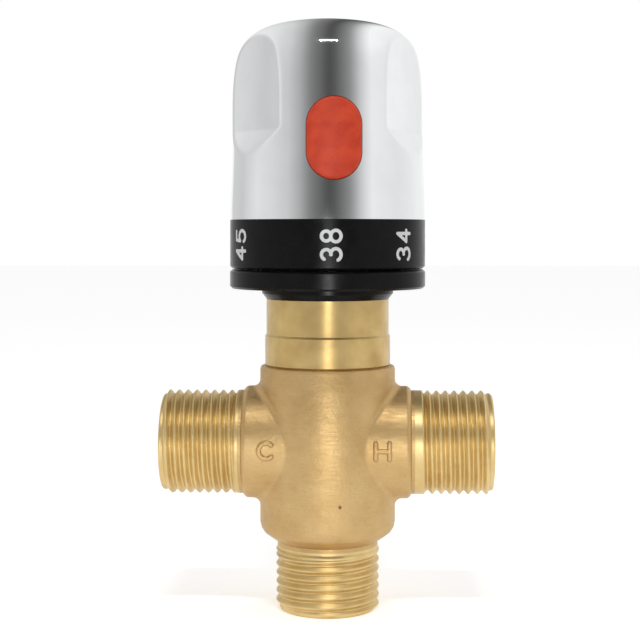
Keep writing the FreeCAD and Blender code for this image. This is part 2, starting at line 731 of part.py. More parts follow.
def red_button():
    """Push button with a curved face, its guide stem, and the leg and tooth of the 38 stop."""
    blank = stadium(BUTTON_WIDTH, BUTTON_HEIGHT, 24.0, 16.2, BUTTON_Z)
    face = cylinder(BUTTON_FACE_R, BUTTON_Z - BUTTON_HEIGHT, BUTTON_Z + BUTTON_HEIGHT)
    key = rounded(blank.common(face), BUTTON_RIM, lambda edge: edge.BoundBox.YMax < -17.5)
    flange = stadium(BUTTON_WIDTH + 2.4, BUTTON_HEIGHT + 2.4, 17.0, 15.6, BUTTON_Z)
    flange = flange.common(cylinder(17.35, 80.0, 110.0))
    left = -LEG_WIDTH / 2
    leg = Part.makeBox(LEG_WIDTH, 1.4, BUTTON_Z - 75.0, V(left, -14.9, 75.0))
    bridge = Part.makeBox(LEG_WIDTH, 2.6, 4.0, V(left, -16.4, 86.0))
    tooth = Part.makeBox(LEG_WIDTH, 2.0, 5.0, V(left, -14.9, LOCK_LUG_TOP + TOOTH_CLEARANCE))
    stem = Part.makeCylinder(1.5, 3.0, V(0, -13.0, BUTTON_Z), V(0, -1, 0))
    return fuse_all([key, flange, leg, bridge, tooth, stem])


def button_spring():
    near, far = BUTTON_SPRING_ENDS
    spring = coil_spring(BUTTON_SPRING_R, 0.25, near, far, 4)
    spring.rotate(CENTRE, V(1, 0, 0), 90.0)
    spring.translate(V(0, 0, BUTTON_Z))
    return spring


def handle_screw():
    """Pan-head screw that holds the inner handle on the spindle."""
    shank = cylinder(SCREW_R, SPLINE_TOP - 8.0, SCREW_HEAD_BOTTOM + 0.2)
    head = revolve([
        (0, SCREW_HEAD_BOTTOM),
        (SCREW_HEAD_R, SCREW_HEAD_BOTTOM),
        (SCREW_HEAD_R, SCREW_HEAD_BOTTOM + 1.3),
        (SCREW_HEAD_R - 1.1, SCREW_HEAD_BOTTOM + 2.6),
        (0, SCREW_HEAD_BOTTOM + 2.9),
    ])
    slot_floor = SCREW_HEAD_BOTTOM + 1.4
    slots = [
        Part.makeBox(3.6, 0.9, 2.0, V(-1.8, -0.45, slot_floor)),
        Part.makeBox(0.9, 3.6, 2.0, V(-0.45, -1.8, slot_floor)),
    ]
    return shank.fuse(head).removeSplitter().cut(slots)


def screw_washer():
    return ring(5.2, 2.2, SPLINE_TOP + 0.2, SCREW_HEAD_BOTTOM)


# ---- inlet check valves, built on +Z and laid along an inlet ----

def check_body():
    """Moulded cage: seat at the outer end, three-armed stem guide at the inner end."""
    shell = revolve([
        (CHECK_CAVITY_R, CHECK_INNER_X),
        (CHECK_R, CHECK_INNER_X),
        (CHECK_R, CHECK_ORING_X - 0.7),
        (CHECK_CAVITY_R + 0.05, CHECK_ORING_X - 0.7),
        (CHECK_CAVITY_R + 0.05, CHECK_ORING_X + 0.7),
        (CHECK_R, CHECK_ORING_X + 0.7),
        (CHECK_R, CHECK_OUTER_X),
        (CHECK_SEAT_R, CHECK_OUTER_X),
        (CHECK_SEAT_R, CHECK_SEAT_X + 0.4),
        (CHECK_SEAT_R + 0.4, CHECK_SEAT_X),
        (CHECK_CAVITY_R, CHECK_SEAT_X),
    ])
    guide = ring(2.2, POPPET_STEM_R + 0.08, CHECK_INNER_X, CHECK_GUIDE_X)
    arm = Part.makeBox(4.4, 1.2, 1.8, V(1.7, -0.6, CHECK_INNER_X))
    return fuse_all([shell, guide] + polar(arm, even_angles(3)))


def poppet():
    return revolve([
        (0, POPPET_STEM_END_X),
        (POPPET_STEM_R - 0.3, POPPET_STEM_END_X),
        (POPPET_STEM_R, POPPET_STEM_END_X + 0.3),
        (POPPET_STEM_R, POPPET_BACK_X),
        (POPPET_R, POPPET_BACK_X),
        (POPPET_R, CHECK_SEAT_X - 0.3),
        (CHECK_SEAT_R - 0.6, CHECK_SEAT_X + 0.2),
        (1.2, CHECK_SEAT_X + 1.4),
        (0, CHECK_SEAT_X + 1.4),
    ])


def poppet_spring():
    return coil_spring(2.7, 0.3, CHECK_GUIDE_X, POPPET_BACK_X, 3)


def check_o_ring():
    return o_ring(CHECK_ORING_CORD, PORT_BORE_R, CHECK_ORING_X)


def strainer():
    """Perforated disc with a rolled rim, ahead of the check valve."""
    rim = ring(PORT_BORE_R - RUNNING_GAP, 5.9, CHECK_OUTER_X, STRAINER_OUTER_X)
    disc = cylinder(6.2, CHECK_OUTER_X + 0.1, STRAINER_OUTER_X - 0.4)
    centre_hole = cylinder(STRAINER_HOLE_R, CHECK_OUTER_X - 1, STRAINER_OUTER_X + 1)
    holes = [centre_hole]
    for count, circle_r in STRAINER_CIRCLES:
        hole = centre_hole.copy()
        hole.translate(V(circle_r, 0, 0))
        holes += polar(hole, even_angles(count))
    return rim.fuse(disc).removeSplitter().cut(holes)


def strainer_clip():
    return circlip(5.7, PORT_BORE_R - 0.03, STRAINER_OUTER_X, STRAINER_OUTER_X + 0.8, 3.2)


def cartridge_nut_o_ring():
    return o_ring(0.65, COUNTERBORE_R, BARREL_TOP - 1.3)


def build_parts():
    parts = {
        "valve_body": valve_body(),
        "cartridge_nut": cartridge_nut(),
        "cartridge_nut_oring": cartridge_nut_o_ring(),
        "stop_collar": stop_collar(),
        "stop_ring": stop_ring(),
        "cartridge_sleeve": cartridge_sleeve(),
        "spring_spider": spring_spider(),
        "hot_seat": hot_seat(),
        "cold_seat": cold_seat(),
        "return_spring": return_spring(),
        "thrust_washer": thrust_washer(),
        "shuttle": shuttle(),
        "shuttle_oring": shuttle_o_ring(),
        "wax_element": wax_element(),
        "element_pin": element_pin(),
        "regulating_nut": regulating_nut(),
        "overload_plunger": overload_plunger(),
        "overload_clip": overload_clip(),
        "overload_spring": overload_spring(),
        "spindle": spindle(),
        "spindle_clip": spindle_clip(),
        "scale_ring": scale_ring(),
        "handle_cap": handle_cap(),
        "handle_screw": handle_screw(),
        "screw_washer": screw_washer(),
        "red_button": red_button(),
        "button_spring": button_spring(),
    }
    for name in ("scale_ring", "handle_cap", "red_button", "button_spring"):
        parts[name].rotate(CENTRE, UP, HANDLE_CLOCK)
    for name in ORING_HEIGHTS:
        parts["sleeve_oring_" + name] = sleeve_o_ring(name)
    for name, height in SPINDLE_ORING_HEIGHTS.items():
        parts["spindle_oring_" + name] = spindle_o_ring(height)
    inlet_parts = {
        "check_body": check_body(),
        "check_poppet": poppet(),
        "check_spring": poppet_spring(),
        "check_oring": check_o_ring(),
        "strainer": strainer(),
        "strainer_clip": strainer_clip(),
    }
    for side, water in ((1, "hot"), (-1, "cold")):
        for name, shape in inlet_parts.items():
            parts[name + "_" + water] = along_inlet(shape, side)
    return parts


os.makedirs("parts", exist_ok=True)
for node, shape in build_parts().items():
    shape.exportStep(os.path.join("parts", node + ".step"))
    print(node, shape.ShapeType, len(shape.Solids), shape.isValid(), round(shape.Volume, 1))
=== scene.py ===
"""Thermostatic mixing valve: threads, cap, numbers, marks, finishes, light and camera."""

import json
import logging
import math
from contextlib import contextmanager
from dataclasses import dataclass
from enum import Enum
from functools import partial
from typing import Iterator, Sequence

import bmesh
import bpy
import numpy as np
from mathutils import Matrix, Vector
from mathutils.geometry import interpolate_bezier


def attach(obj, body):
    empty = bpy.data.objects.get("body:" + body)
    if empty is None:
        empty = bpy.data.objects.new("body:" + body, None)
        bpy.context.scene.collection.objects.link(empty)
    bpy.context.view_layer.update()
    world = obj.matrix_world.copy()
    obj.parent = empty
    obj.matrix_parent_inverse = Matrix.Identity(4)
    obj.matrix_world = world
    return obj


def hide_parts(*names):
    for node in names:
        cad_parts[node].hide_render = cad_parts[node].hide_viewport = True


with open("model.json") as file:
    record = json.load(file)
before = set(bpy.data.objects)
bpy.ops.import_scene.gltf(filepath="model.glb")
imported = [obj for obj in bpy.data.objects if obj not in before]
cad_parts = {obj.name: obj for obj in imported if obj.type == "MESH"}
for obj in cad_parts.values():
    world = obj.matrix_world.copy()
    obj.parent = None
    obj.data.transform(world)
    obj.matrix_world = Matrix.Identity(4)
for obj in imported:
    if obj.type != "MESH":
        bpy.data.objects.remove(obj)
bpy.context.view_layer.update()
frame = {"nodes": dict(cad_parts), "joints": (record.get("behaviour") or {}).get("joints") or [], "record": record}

LOG = logging.getLogger("valve")
MM = 0.001


# ---------------------------------------------------------------- helpers

def linear(hex_colour: str) -> tuple[float, float, float, float]:
    """Turn an sRGB hex colour into linear RGBA.

    Args:
        hex_colour: six hex digits.

    Returns:
        Linear red, green and blue, and an alpha of 1.
    """
    channels = [int(hex_colour[i:i + 2], 16) / 255 for i in (0, 2, 4)]
    turned = [c / 12.92 if c <= 0.04045 else ((c + 0.055) / 1.055) ** 2.4 for c in channels]
    return (turned[0], turned[1], turned[2], 1.0)


def add_node(tree: bpy.types.NodeTree, kind: str, inputs: dict | Sequence = (), **settings) -> bpy.types.Node:
    """Add a node, set its properties, and fill or link its inputs.

    Args:
        tree: the node tree.
        kind: the node's type name.
        inputs: what goes into its sockets, in their order or by socket name or index. A number or a
            colour fills a socket, an output socket is linked, and so is a node's first live output.
        settings: properties of the node.

    Returns:
        The new node.
    """
    node = tree.nodes.new(kind)
    for name, value in settings.items():
        setattr(node, name, value)
    for key, value in inputs.items() if isinstance(inputs, dict) else enumerate(inputs):
        if isinstance(value, bpy.types.Node):
            value = next(output for output in value.outputs if output.enabled)
        if isinstance(value, bpy.types.NodeSocket):
            tree.links.new(value, node.inputs[key])
        else:
            node.inputs[key].default_value = value
    return node


def new_object(name: str, mesh: bpy.types.Mesh) -> bpy.types.Object:
    """Link a mesh into the scene as an object at the origin.

    Args:
        name: the object's name.
        mesh: its mesh.

    Returns:
        The object.
    """
    made = bpy.data.objects.new(name, mesh)
    bpy.context.scene.collection.objects.link(made)
    return made


@contextmanager
def edited(mesh: bpy.types.Mesh) -> Iterator[bmesh.types.BMesh]:
    """Open a mesh for editing, and write it back at the end.

    Args:
        mesh: the mesh.

    Yields:
        Its editable form.
    """
    work = bmesh.new()
    work.from_mesh(mesh)
    yield work
    work.to_mesh(mesh)
    work.free()


def mesh_from(name: str, points: np.ndarray, faces: Sequence[Sequence[int]]) -> bpy.types.Mesh:
    """Make a smooth mesh from points and faces, with doubles merged and normals outward.

    Args:
        name: the mesh's name.
        points: N by 3 array, in metres.
        faces: corner indices of each face.

    Returns:
        The mesh.
    """
    mesh = bpy.data.meshes.new(name)
    mesh.from_pydata(points.tolist(), [], [list(f) for f in faces])
    with edited(mesh) as work:
        bmesh.ops.remove_doubles(work, verts=work.verts, dist=1e-7)
        bmesh.ops.recalc_face_normals(work, faces=work.faces)
    mesh.shade_smooth()
    return mesh


def ring_faces(rings: int, columns: int, closed: bool = False) -> list[tuple[int, int, int, int]]:
    """Quads between rings of points that are stored ring by ring.

    Args:
        rings: how many rings there are.
        columns: how many points a ring has.
        closed: whether the last ring meets the first.

    Returns:
        Corner indices of each quad.
    """
    faces = []
    for i in range(rings if closed else rings - 1):
        low, high = i * columns, (i + 1) % rings * columns
        for j in range(columns):
            k = (j + 1) % columns
            faces.append((low + j, low + k, high + k, high + j))
    return faces


def smooth_by_angle(mesh: bpy.types.Mesh, degrees: float) -> None:
    """Shade a mesh smooth and mark its sharp edges.

    Args:
        mesh: the mesh.
        degrees: angle between two faces from which their edge is sharp.
    """
    mesh.shade_smooth()
    with edited(mesh) as work:
        for edge in work.edges:
            if len(edge.link_faces) == 2:
                edge.smooth = edge.calc_face_angle(0.0) < math.radians(degrees)


def joined(name: str, meshes: Sequence[bpy.types.Mesh]) -> bpy.types.Object:
    """Join meshes into one object, keeping their materials and sharp edges.

    Args:
        name: the object's name.
        meshes: the meshes.

    Returns:
        The object, at the origin.
    """
    pieces = [new_object(name + str(i), mesh) for i, mesh in enumerate(meshes)]
    with bpy.context.temp_override(
            active_object=pieces[0], selected_editable_objects=pieces, selected_objects=pieces):
        bpy.ops.object.join()
    pieces[0].name = name
    return pieces[0]


# ---------------------------------------------------------------- finishes

class LatheAxis(Enum):
    """Axis that a turned surface was spun about."""

    UPRIGHT = "z"
    ACROSS = "x"


@dataclass(frozen=True)
class Finish:
    """A surface finish. Each kind works out what its pattern gives to a principled shader."""

    name: str
    colour: str
    roughness: float

    def material(self) -> bpy.types.Material:
        """Build the finish as a material.

        Returns:
            The material, named for the finish.
        """
        made = bpy.data.materials.new(self.name)
        made.use_nodes = True
        tree = made.node_tree
        tree.nodes.clear()
        place = add_node(tree, "ShaderNodeTexCoord").outputs["Object"]
        shader = add_node(tree, "ShaderNodeBsdfPrincipled", self.dress(tree, place))
        add_node(tree, "ShaderNodeOutputMaterial", (shader,))
        return made

    def dress(self, tree: bpy.types.NodeTree, place: bpy.types.NodeSocket) -> dict:
        """Build the finish's own pattern.

        Args:
            tree: the material's node tree.
            place: object coordinates, in metres.

        Returns:
            The shader's inputs by name.
        """
        raise NotImplementedError

    def uneven(self, tree: bpy.types.NodeTree, place: bpy.types.NodeSocket, size_mm: float,
               detail: float = 3.0, stretch: tuple[float, float, float] = (1, 1, 1)) -> bpy.types.Node:
        """Unevenness whose features have a real size.

        Args:
            tree: the material's node tree.
            place: object coordinates, in metres.
            size_mm: about how wide a feature is, in millimetres.
            detail: octaves of finer unevenness.
            stretch: how closely the pattern is packed along each axis.

        Returns:
            The node that gives it, about 0.5 on average.
        """
        packed = add_node(tree, "ShaderNodeMapping", {"Vector": place, "Scale": stretch})
        return add_node(tree, "ShaderNodeTexNoise", {
            "Vector": packed, "Scale": 1.0 / (size_mm * MM), "Detail": detail, "Roughness": 0.55})

    def tinted(self, tree: bpy.types.NodeTree, under: str | bpy.types.Node, over: str,
               pattern: bpy.types.Node, low: float, high: float, share: float = 1.0) -> bpy.types.Node:
        """Let a second colour show over a first where a pattern says.

        Args:
            tree: the material's node tree.
            under: the first colour in hex digits, or the node that gives it.
            over: the second colour, in hex digits.
            pattern: the pattern's node.
            low: level of the pattern at which the second colour begins to show.
            high: level at which it is strongest.
            share: how strong it is there.

        Returns:
            The node that gives the mixed colour.
        """
        shown = add_node(tree, "ShaderNodeMapRange", (pattern, low, high, 0.0, share))
        first = linear(under) if isinstance(under, str) else under
        return add_node(tree, "ShaderNodeMix", {0: shown, 6: first, 7: linear(over)}, data_type="RGBA")

    def relief(self, tree: bpy.types.NodeTree,
               layers: Sequence[tuple[bpy.types.Node, float, float]]) -> bpy.types.Node:
        """Chain layers of relief.

        Args:
            tree: the material's node tree.
            layers: pattern, depth in millimetres and strength of each layer.

        Returns:
            The node that gives the bumped normal.
        """
        bump = None
        for pattern, deep_mm, strength in layers:
            fed = {"Height": pattern, "Distance": deep_mm * MM, "Strength": strength}
            if bump is not None:
                fed["Normal"] = bump
            bump = add_node(tree, "ShaderNodeBump", fed)
        return bump


@dataclass(frozen=True)
class ForgedBrass(Finish):
    """Hot-forged brass, tumbled: a warm satin skin, slightly uneven, with pits and rub marks."""

    worn: str = "C09F6C"
    dull: str = "A98550"
    dark: str = "4A3418"
    pit_at: tuple[float, float, float] = (2.9 * MM, -13.5 * MM, 22.8 * MM)
    pit_r: float = 0.4 * MM
    rubbed_z: float = 26.6 * MM        # height of the band that is rubbed across
    rubbed_half: float = 3.0 * MM
    parting_x: float = -0.4 * MM       # the die's parting line, rough where the flash came off
    parting_half: float = 2.6 * MM
    scatter: float = 2.6 * MM          # distance between small pits

    def dress(self, tree: bpy.types.NodeTree, place: bpy.types.NodeSocket) -> dict:
        """Mottle the colour, grain the skin, rub it and scatter pits.

        Args:
            tree: the material's node tree.
            place: object coordinates, in metres.

        Returns:
            The shader's inputs by name.
        """
        cloud = self.uneven(tree, place, 7.0, 2.0)
        grain = self.uneven(tree, place, 0.35, 4.0)
        swell = self.uneven(tree, place, 2.2, 2.0)
        rub = self.uneven(tree, place, 0.9, 3.0, (0.25, 0.25, 3.2))
        x, _, z = add_node(tree, "ShaderNodeSeparateXYZ", (place,)).outputs
        rubbed = self.banded(tree, z, self.rubbed_z, self.rubbed_half,
                             self.uneven(tree, place, 0.55, 2.0, (0.12, 0.12, 2.4)))
        parting = self.banded(tree, x, self.parting_x, self.parting_half, self.uneven(tree, place, 0.8))
        pits = add_node(tree, "ShaderNodeTexVoronoi", {
            "Vector": place, "Scale": 1.0 / self.scatter, "Randomness": 1.0})
        pit = add_node(tree, "ShaderNodeMapRange", (pits, 0.03, 0.09, 0.0, 1.0))
        gap = add_node(tree, "ShaderNodeVectorMath", (place, self.pit_at), operation="DISTANCE")
        hole = add_node(tree, "ShaderNodeMapRange", (gap, 0.4 * self.pit_r, self.pit_r, 0.0, 1.0))
        tone = self.tinted(tree, self.colour, self.worn, cloud, 0.35, 0.7)
        tone = self.tinted(tree, tone, self.dull, grain, 0.55, 0.75, 0.45)
        return {
            "Metallic": 1.0,
            "Base Color": self.tinted(tree, tone, self.dark, hole, 1.0, 0.0, 0.8),
            "Roughness": add_node(tree, "ShaderNodeMapRange", (
                rub, 0.3, 0.7, self.roughness - 0.05, self.roughness + 0.07)),
            "Normal": self.relief(tree, [
                (swell, 0.14, 0.7),
                (rub, 0.020, 0.5),
                (rubbed, 0.06, 0.8),
                (parting, 0.07, 0.5),
                (grain, 0.030, 0.7),
                (pit, 0.05, 0.35),
                (hole, 0.15, 0.8),
            ]),
        }

    def banded(self, tree: bpy.types.NodeTree, value: bpy.types.NodeSocket, middle: float, half: float,
               pattern: bpy.types.Node) -> bpy.types.Node:
        """Keep a pattern to a band, fading it out at the band's edges.

        Args:
            tree: the material's node tree.
            value: the coordinate that the band is set on, in metres.
            middle: its value at the band's middle.
            half: half the band's width.
            pattern: the pattern's node.

        Returns:
            The node that gives the banded pattern.
        """
        away = add_node(tree, "ShaderNodeMath", (value, middle), operation="SUBTRACT")
        size = add_node(tree, "ShaderNodeMath", (away,), operation="ABSOLUTE")
        near = add_node(tree, "ShaderNodeMapRange", (size, 0.2 * half, half, 1.0, 0.0))
        return add_node(tree, "ShaderNodeMath", (near, pattern), operation="MULTIPLY")


@dataclass(frozen=True)
class TurnedBrass(Finish):
    """Brass from the lathe: brighter and yellower, its fine rings stretching a highlight along the axis."""

    worn: str = "C6A86E"
    stretch: float = 0.85
    axis: LatheAxis = LatheAxis.UPRIGHT
    axis_z: float = 0.0                # height of an axis that lies across

    def dress(self, tree: bpy.types.NodeTree, place: bpy.types.NodeSocket) -> dict:
        """Cut rings round the lathe's axis and leave faint handling marks.

        Args:
            tree: the material's node tree.
            place: object coordinates, in metres.

        Returns:
            The shader's inputs by name.
        """
        upright = self.axis is LatheAxis.UPRIGHT
        # a tangent that follows the axis on a wall and the radius on an end face
        along = add_node(tree, "ShaderNodeMapping", {
            "Vector": place,
            "Location": (0.0, 0.0, 1.0) if upright else (1.0, 0.0, -self.axis_z),
            "Scale": (1, 1, 0) if upright else (0, 1, 1)})
        feed = self.uneven(tree, place, 1.2, 2.0, (0.02, 0.02, 9.0) if upright else (9.0, 0.02, 0.02))
        cloud = self.uneven(tree, place, 5.0)
        return {
            "Metallic": 1.0,
            "Anisotropic": self.stretch,
            "Tangent": along,
            "Base Color": self.tinted(tree, self.colour, self.worn, cloud, 0.35, 0.7),
            "Roughness": add_node(tree, "ShaderNodeMapRange", (
                cloud, 0.3, 0.7, self.roughness - 0.04, self.roughness + 0.05)),
            "Normal": self.relief(tree, [(feed, 0.006, 0.5), (self.uneven(tree, place, 0.3), 0.008, 0.3)]),
        }


@dataclass(frozen=True)
class ChromedPlastic(Finish):
    """Bright chrome plated on moulded ABS: a mirror with a trace of the moulding's waviness."""

    smudged: str = "EAEBEC"

    def dress(self, tree: bpy.types.NodeTree, place: bpy.types.NodeSocket) -> dict:
        """Leave a faint waviness and light smudges.

        Args:
            tree: the material's node tree.
            place: object coordinates, in metres.

        Returns:
            The shader's inputs by name.
        """
        smudge = self.uneven(tree, place, 6.0, 4.0)
        return {
            "Metallic": 1.0,
            "Base Color": self.tinted(tree, self.colour, self.smudged, smudge, 0.4, 0.7),
            "Roughness": add_node(tree, "ShaderNodeMapRange", (
                smudge, 0.45, 0.75, self.roughness, self.roughness + 0.02)),
            "Normal": self.relief(tree, [(self.uneven(tree, place, 5.0, 1.0), 0.01, 0.25)]),
        }


@dataclass(frozen=True)
class MouldedPlastic(Finish):
    """Injection-moulded plastic with a fine spark-eroded grain."""

    shade: str
    grain_mm: float = 0.25
    grain_depth_mm: float = 0.01
    gloss: float = 0.5

    def dress(self, tree: bpy.types.NodeTree, place: bpy.types.NodeSocket) -> dict:
        """Give it fine grain, soft clouds of colour and handling marks in the gloss.

        Args:
            tree: the material's node tree.
            place: object coordinates, in metres.

        Returns:
            The shader's inputs by name.
        """
        cloud = self.uneven(tree, place, 3.0, 4.0)
        grain = self.uneven(tree, place, self.grain_mm, 2.0)
        return {
            "IOR": 1.53,
            "Specular IOR Level": self.gloss,
            "Base Color": self.tinted(tree, self.colour, self.shade, cloud, 0.35, 0.7),
            "Roughness": add_node(tree, "ShaderNodeMapRange", (
                cloud, 0.3, 0.7, self.roughness - 0.04, self.roughness + 0.06)),
            "Normal": self.relief(tree, [(grain, self.grain_depth_mm, 0.4)]),
        }


@dataclass(frozen=True)
class RedButtonPlastic(Finish):
    """Matt red ABS, slightly mottled, with small sink dimples on its face."""

    deep: str = "BA3418"
    scatter: float = 1.7 * MM          # distance between dimples

    def dress(self, tree: bpy.types.NodeTree, place: bpy.types.NodeSocket) -> dict:
        """Mottle the red and press in a few shallow dimples.

        Args:
            tree: the material's node tree.
            place: object coordinates, in metres.

        Returns:
            The shader's inputs by name.
        """
        cloud = self.uneven(tree, place, 2.6, 4.0)
        grain = self.uneven(tree, place, 0.18, 2.0)
        dimples = add_node(tree, "ShaderNodeTexVoronoi", {
            "Vector": place, "Scale": 1.0 / self.scatter, "Randomness": 1.0})
        dimple = add_node(tree, "ShaderNodeMapRange", (dimples, 0.04, 0.2, 0.0, 1.0))
        return {
            "IOR": 1.5,
            "Specular IOR Level": 0.3,
            "Base Color": self.tinted(tree, self.colour, self.deep, cloud, 0.35, 0.68),
            "Roughness": add_node(tree, "ShaderNodeMapRange", (
                grain, 0.3, 0.7, self.roughness - 0.05, self.roughness + 0.08)),
            "Normal": self.relief(tree, [(cloud, 0.08, 0.4), (dimple, 0.08, 0.6), (grain, 0.01, 0.5)]),
        }


@dataclass(frozen=True)
class DrawnMetal(Finish):
    """Drawn or pressed metal, such as spring wire: satin with fine lines."""

    tarnish: str = "6E6A64"

    def dress(self, tree: bpy.types.NodeTree, place: bpy.types.NodeSocket) -> dict:
        """Leave fine drawing lines and a little tarnish.

        Args:
            tree: the material's node tree.
            place: object coordinates, in metres.

        Returns:
            The shader's inputs by name.
        """
        lines = self.uneven(tree, place, 0.4)
        return {
            "Metallic": 1.0,
            "Base Color": self.tinted(tree, self.colour, self.tarnish, lines, 0.4, 0.7, 0.5),
            "Roughness": add_node(tree, "ShaderNodeMapRange", (
                lines, 0.3, 0.7, self.roughness - 0.06, self.roughness + 0.08)),
            "Normal": self.relief(tree, [(lines, 0.006, 0.4)]),
        }


# hot-forged and tumbled: a broad soft highlight that breaks up on the skin's unevenness
FORGED = ForgedBrass("forged brass", "CBAD7A", 0.48)
# turned with a fine feed: a clean upright streak of light down the nut
TURNED = TurnedBrass("turned brass", "D2B67C", 0.42)
# cut threads: pale, bright flanks with no streak; the inlets lie across, so their rings do too
THREADED = TurnedBrass("threaded brass", "DEC58E", 0.43, "D0B57C", 0.1)
THREADED_ACROSS = TurnedBrass(
    "threaded brass, inlets", "DEC58E", 0.43, "D0B57C", 0.1, LatheAxis.ACROSS, 33.7 * MM)
# bright chrome over a polished moulding: a mirror that shows the room as upright bands
CHROMED = ChromedPlastic("chrome plated ABS", "EEEFF0", 0.05)
# moulded in a polished tool: deep black with a narrow, weak gloss
BLACK = MouldedPlastic("black moulded ABS", "09090A", 0.24, "0E0E0F", 0.3, 0.008, 0.1)
# pad-printed: flat, slightly greyed white figures
PAINT = MouldedPlastic("printed scale paint", "D2D3D3", 0.45, "C2C3C4", 0.2, 0.01)
# moulded in a grained tool: an even red with hardly any shine
RED = RedButtonPlastic("red moulded ABS", "CC4322", 0.42)
# moulded acetal: a creamy, waxy white
WHITE = MouldedPlastic("white acetal", "E2E1DA", 0.35, "D6D5CC")
# moulded nitrile: dull, dusty black
RUBBER = MouldedPlastic("nitrile rubber", "121212", 0.55, "1C1C1C")
# drawn wire and pressed sheet: a cool grey satin
STEEL = DrawnMetal("stainless spring steel", "B4B2AE", 0.28)
# drawn tube: a warm pink satin
COPPER = DrawnMetal("drawn copper", "C98A62", 0.30)


class Palette:
    """Every finish's material, made once, and the finish of each of the record's slots."""

    def __init__(self) -> None:
        """Build the materials."""
        self.slots = {
            "forged_brass": FORGED,
            "turned_brass": TURNED,
            "chromed_plastic": CHROMED,
            "black_plastic": BLACK,
            "red_plastic": RED,
            "white_plastic": WHITE,
            "rubber": RUBBER,
            "stainless_steel": STEEL,
            "copper": COPPER,
        }
        finishes = [*self.slots.values(), THREADED, THREADED_ACROSS, PAINT]
        self.made = {finish.name: finish.material() for finish in finishes}

    def of(self, finish: Finish) -> bpy.types.Material:
        """The material of a finish."""
        return self.made[finish.name]

    def dress_nodes(self) -> None:
        """Give every node of the frame the finish of its slot."""
        for part in frame["record"]["subparts"]:
            piece = frame["nodes"][part["node"]]
            material = self.of(self.slots[part["material_slot"]])
            if not piece.material_slots:
                piece.data.materials.append(material)
            for slot in piece.material_slots:
                slot.material = material


# ---------------------------------------------------------------- threads and body

def thread_tree() -> bpy.types.NodeTree:
    """Geometry Nodes that cut a helical groove into a sleeve standing on +Z.

    Returns:
        The node group. Its inputs are the sleeve, the thread's Pitch, Start (the share of a turn that
        its crest is set round by) and Depth, the heights From and To that it runs between, the Run Out
        length of its inner end, the Least Radius that it cuts down to and the Material.
    """
    tree = bpy.data.node_groups.new("helical thread", "GeometryNodeTree")
    face = tree.interface
    face.new_socket("Geometry", in_out="INPUT", socket_type="NodeSocketGeometry")
    for name in ("Pitch", "Start", "Depth", "From", "To", "Run Out", "Least Radius"):
        face.new_socket(name, in_out="INPUT", socket_type="NodeSocketFloat")
    face.new_socket("Material", in_out="INPUT", socket_type="NodeSocketMaterial")
    face.new_socket("Geometry", in_out="OUTPUT", socket_type="NodeSocketGeometry")
    add = partial(add_node, tree)
    given = add("NodeGroupInput").outputs
    x, y, z = add("ShaderNodeSeparateXYZ", (add("GeometryNodeInputPosition"),)).outputs

    # turns climbed, less turns gone round: its fraction is the place between two crests
    angle = add("ShaderNodeMath", (y, x), operation="ARCTAN2")
    turns = add("ShaderNodeMath", (angle, 2 * math.pi), operation="DIVIDE")
    along = add("ShaderNodeMath", (z, given["Pitch"]), operation="DIVIDE")
    whole_turns = 100.0                # keeps the sum above zero on either side of the origin
    offset = add("ShaderNodeMath", (given["Start"], whole_turns), operation="ADD")
    climbed = add("ShaderNodeMath", (along, offset), operation="ADD")
    wound = add("ShaderNodeMath", (climbed, turns), operation="SUBTRACT")
    phase = add("ShaderNodeMath", (wound,), operation="FRACT")
    # a triangle wave, rounded at crest and root as the gauge profile is
    half_wave = add("ShaderNodeMath", (phase, 0.5), operation="PINGPONG")
    wave = add("ShaderNodeMath", (half_wave, 2.0), operation="MULTIPLY")
    rounded = add("ShaderNodeMapRange", (wave, 0.06, 0.94, 0.0, 1.0), interpolation_type="SMOOTHSTEP")
    straight = add("ShaderNodeMath", (wave, 0.4), operation="MULTIPLY")
    groove = add("ShaderNodeMath", (rounded, 0.6, straight), operation="MULTIPLY_ADD")

    # the groove is cut between the two heights, on the outside only
    run_in = add("ShaderNodeMath", (given["From"], given["Run Out"]), operation="ADD")
    begun = add("ShaderNodeMapRange", (z, given["From"], run_in, 0.0, 1.0), interpolation_type="SMOOTHSTEP")
    unended = add("ShaderNodeMath", (z, given["To"]), operation="LESS_THAN")
    radius = add("ShaderNodeVectorMath", (add("ShaderNodeCombineXYZ", (x, y)),), operation="LENGTH")
    outside = add("ShaderNodeMath", (radius, given["Least Radius"]), operation="GREATER_THAN")
    cut = groove
    for share in (given["Depth"], begun, unended, outside):
        cut = add("ShaderNodeMath", (cut, share), operation="MULTIPLY")
    left = add("ShaderNodeMath", (radius, cut), operation="SUBTRACT")
    left = add("ShaderNodeMath", (left, given["Least Radius"]), operation="MAXIMUM")
    left = add("ShaderNodeMath", (left, radius), operation="MINIMUM")
    kept = add("ShaderNodeMath", (left, radius), operation="DIVIDE")
    new_x, new_y = (add("ShaderNodeMath", (value, kept), operation="MULTIPLY") for value in (x, y))

    position = add("ShaderNodeCombineXYZ", (new_x, new_y, z))
    moved = add("GeometryNodeSetPosition", {"Geometry": given["Geometry"], "Position": position})
    real = add("GeometryNodeRealizeInstances", (moved,))
    dressed = add("GeometryNodeSetMaterial", {"Geometry": real, "Material": given["Material"]})
    add("NodeGroupOutput", (dressed,))
    return tree


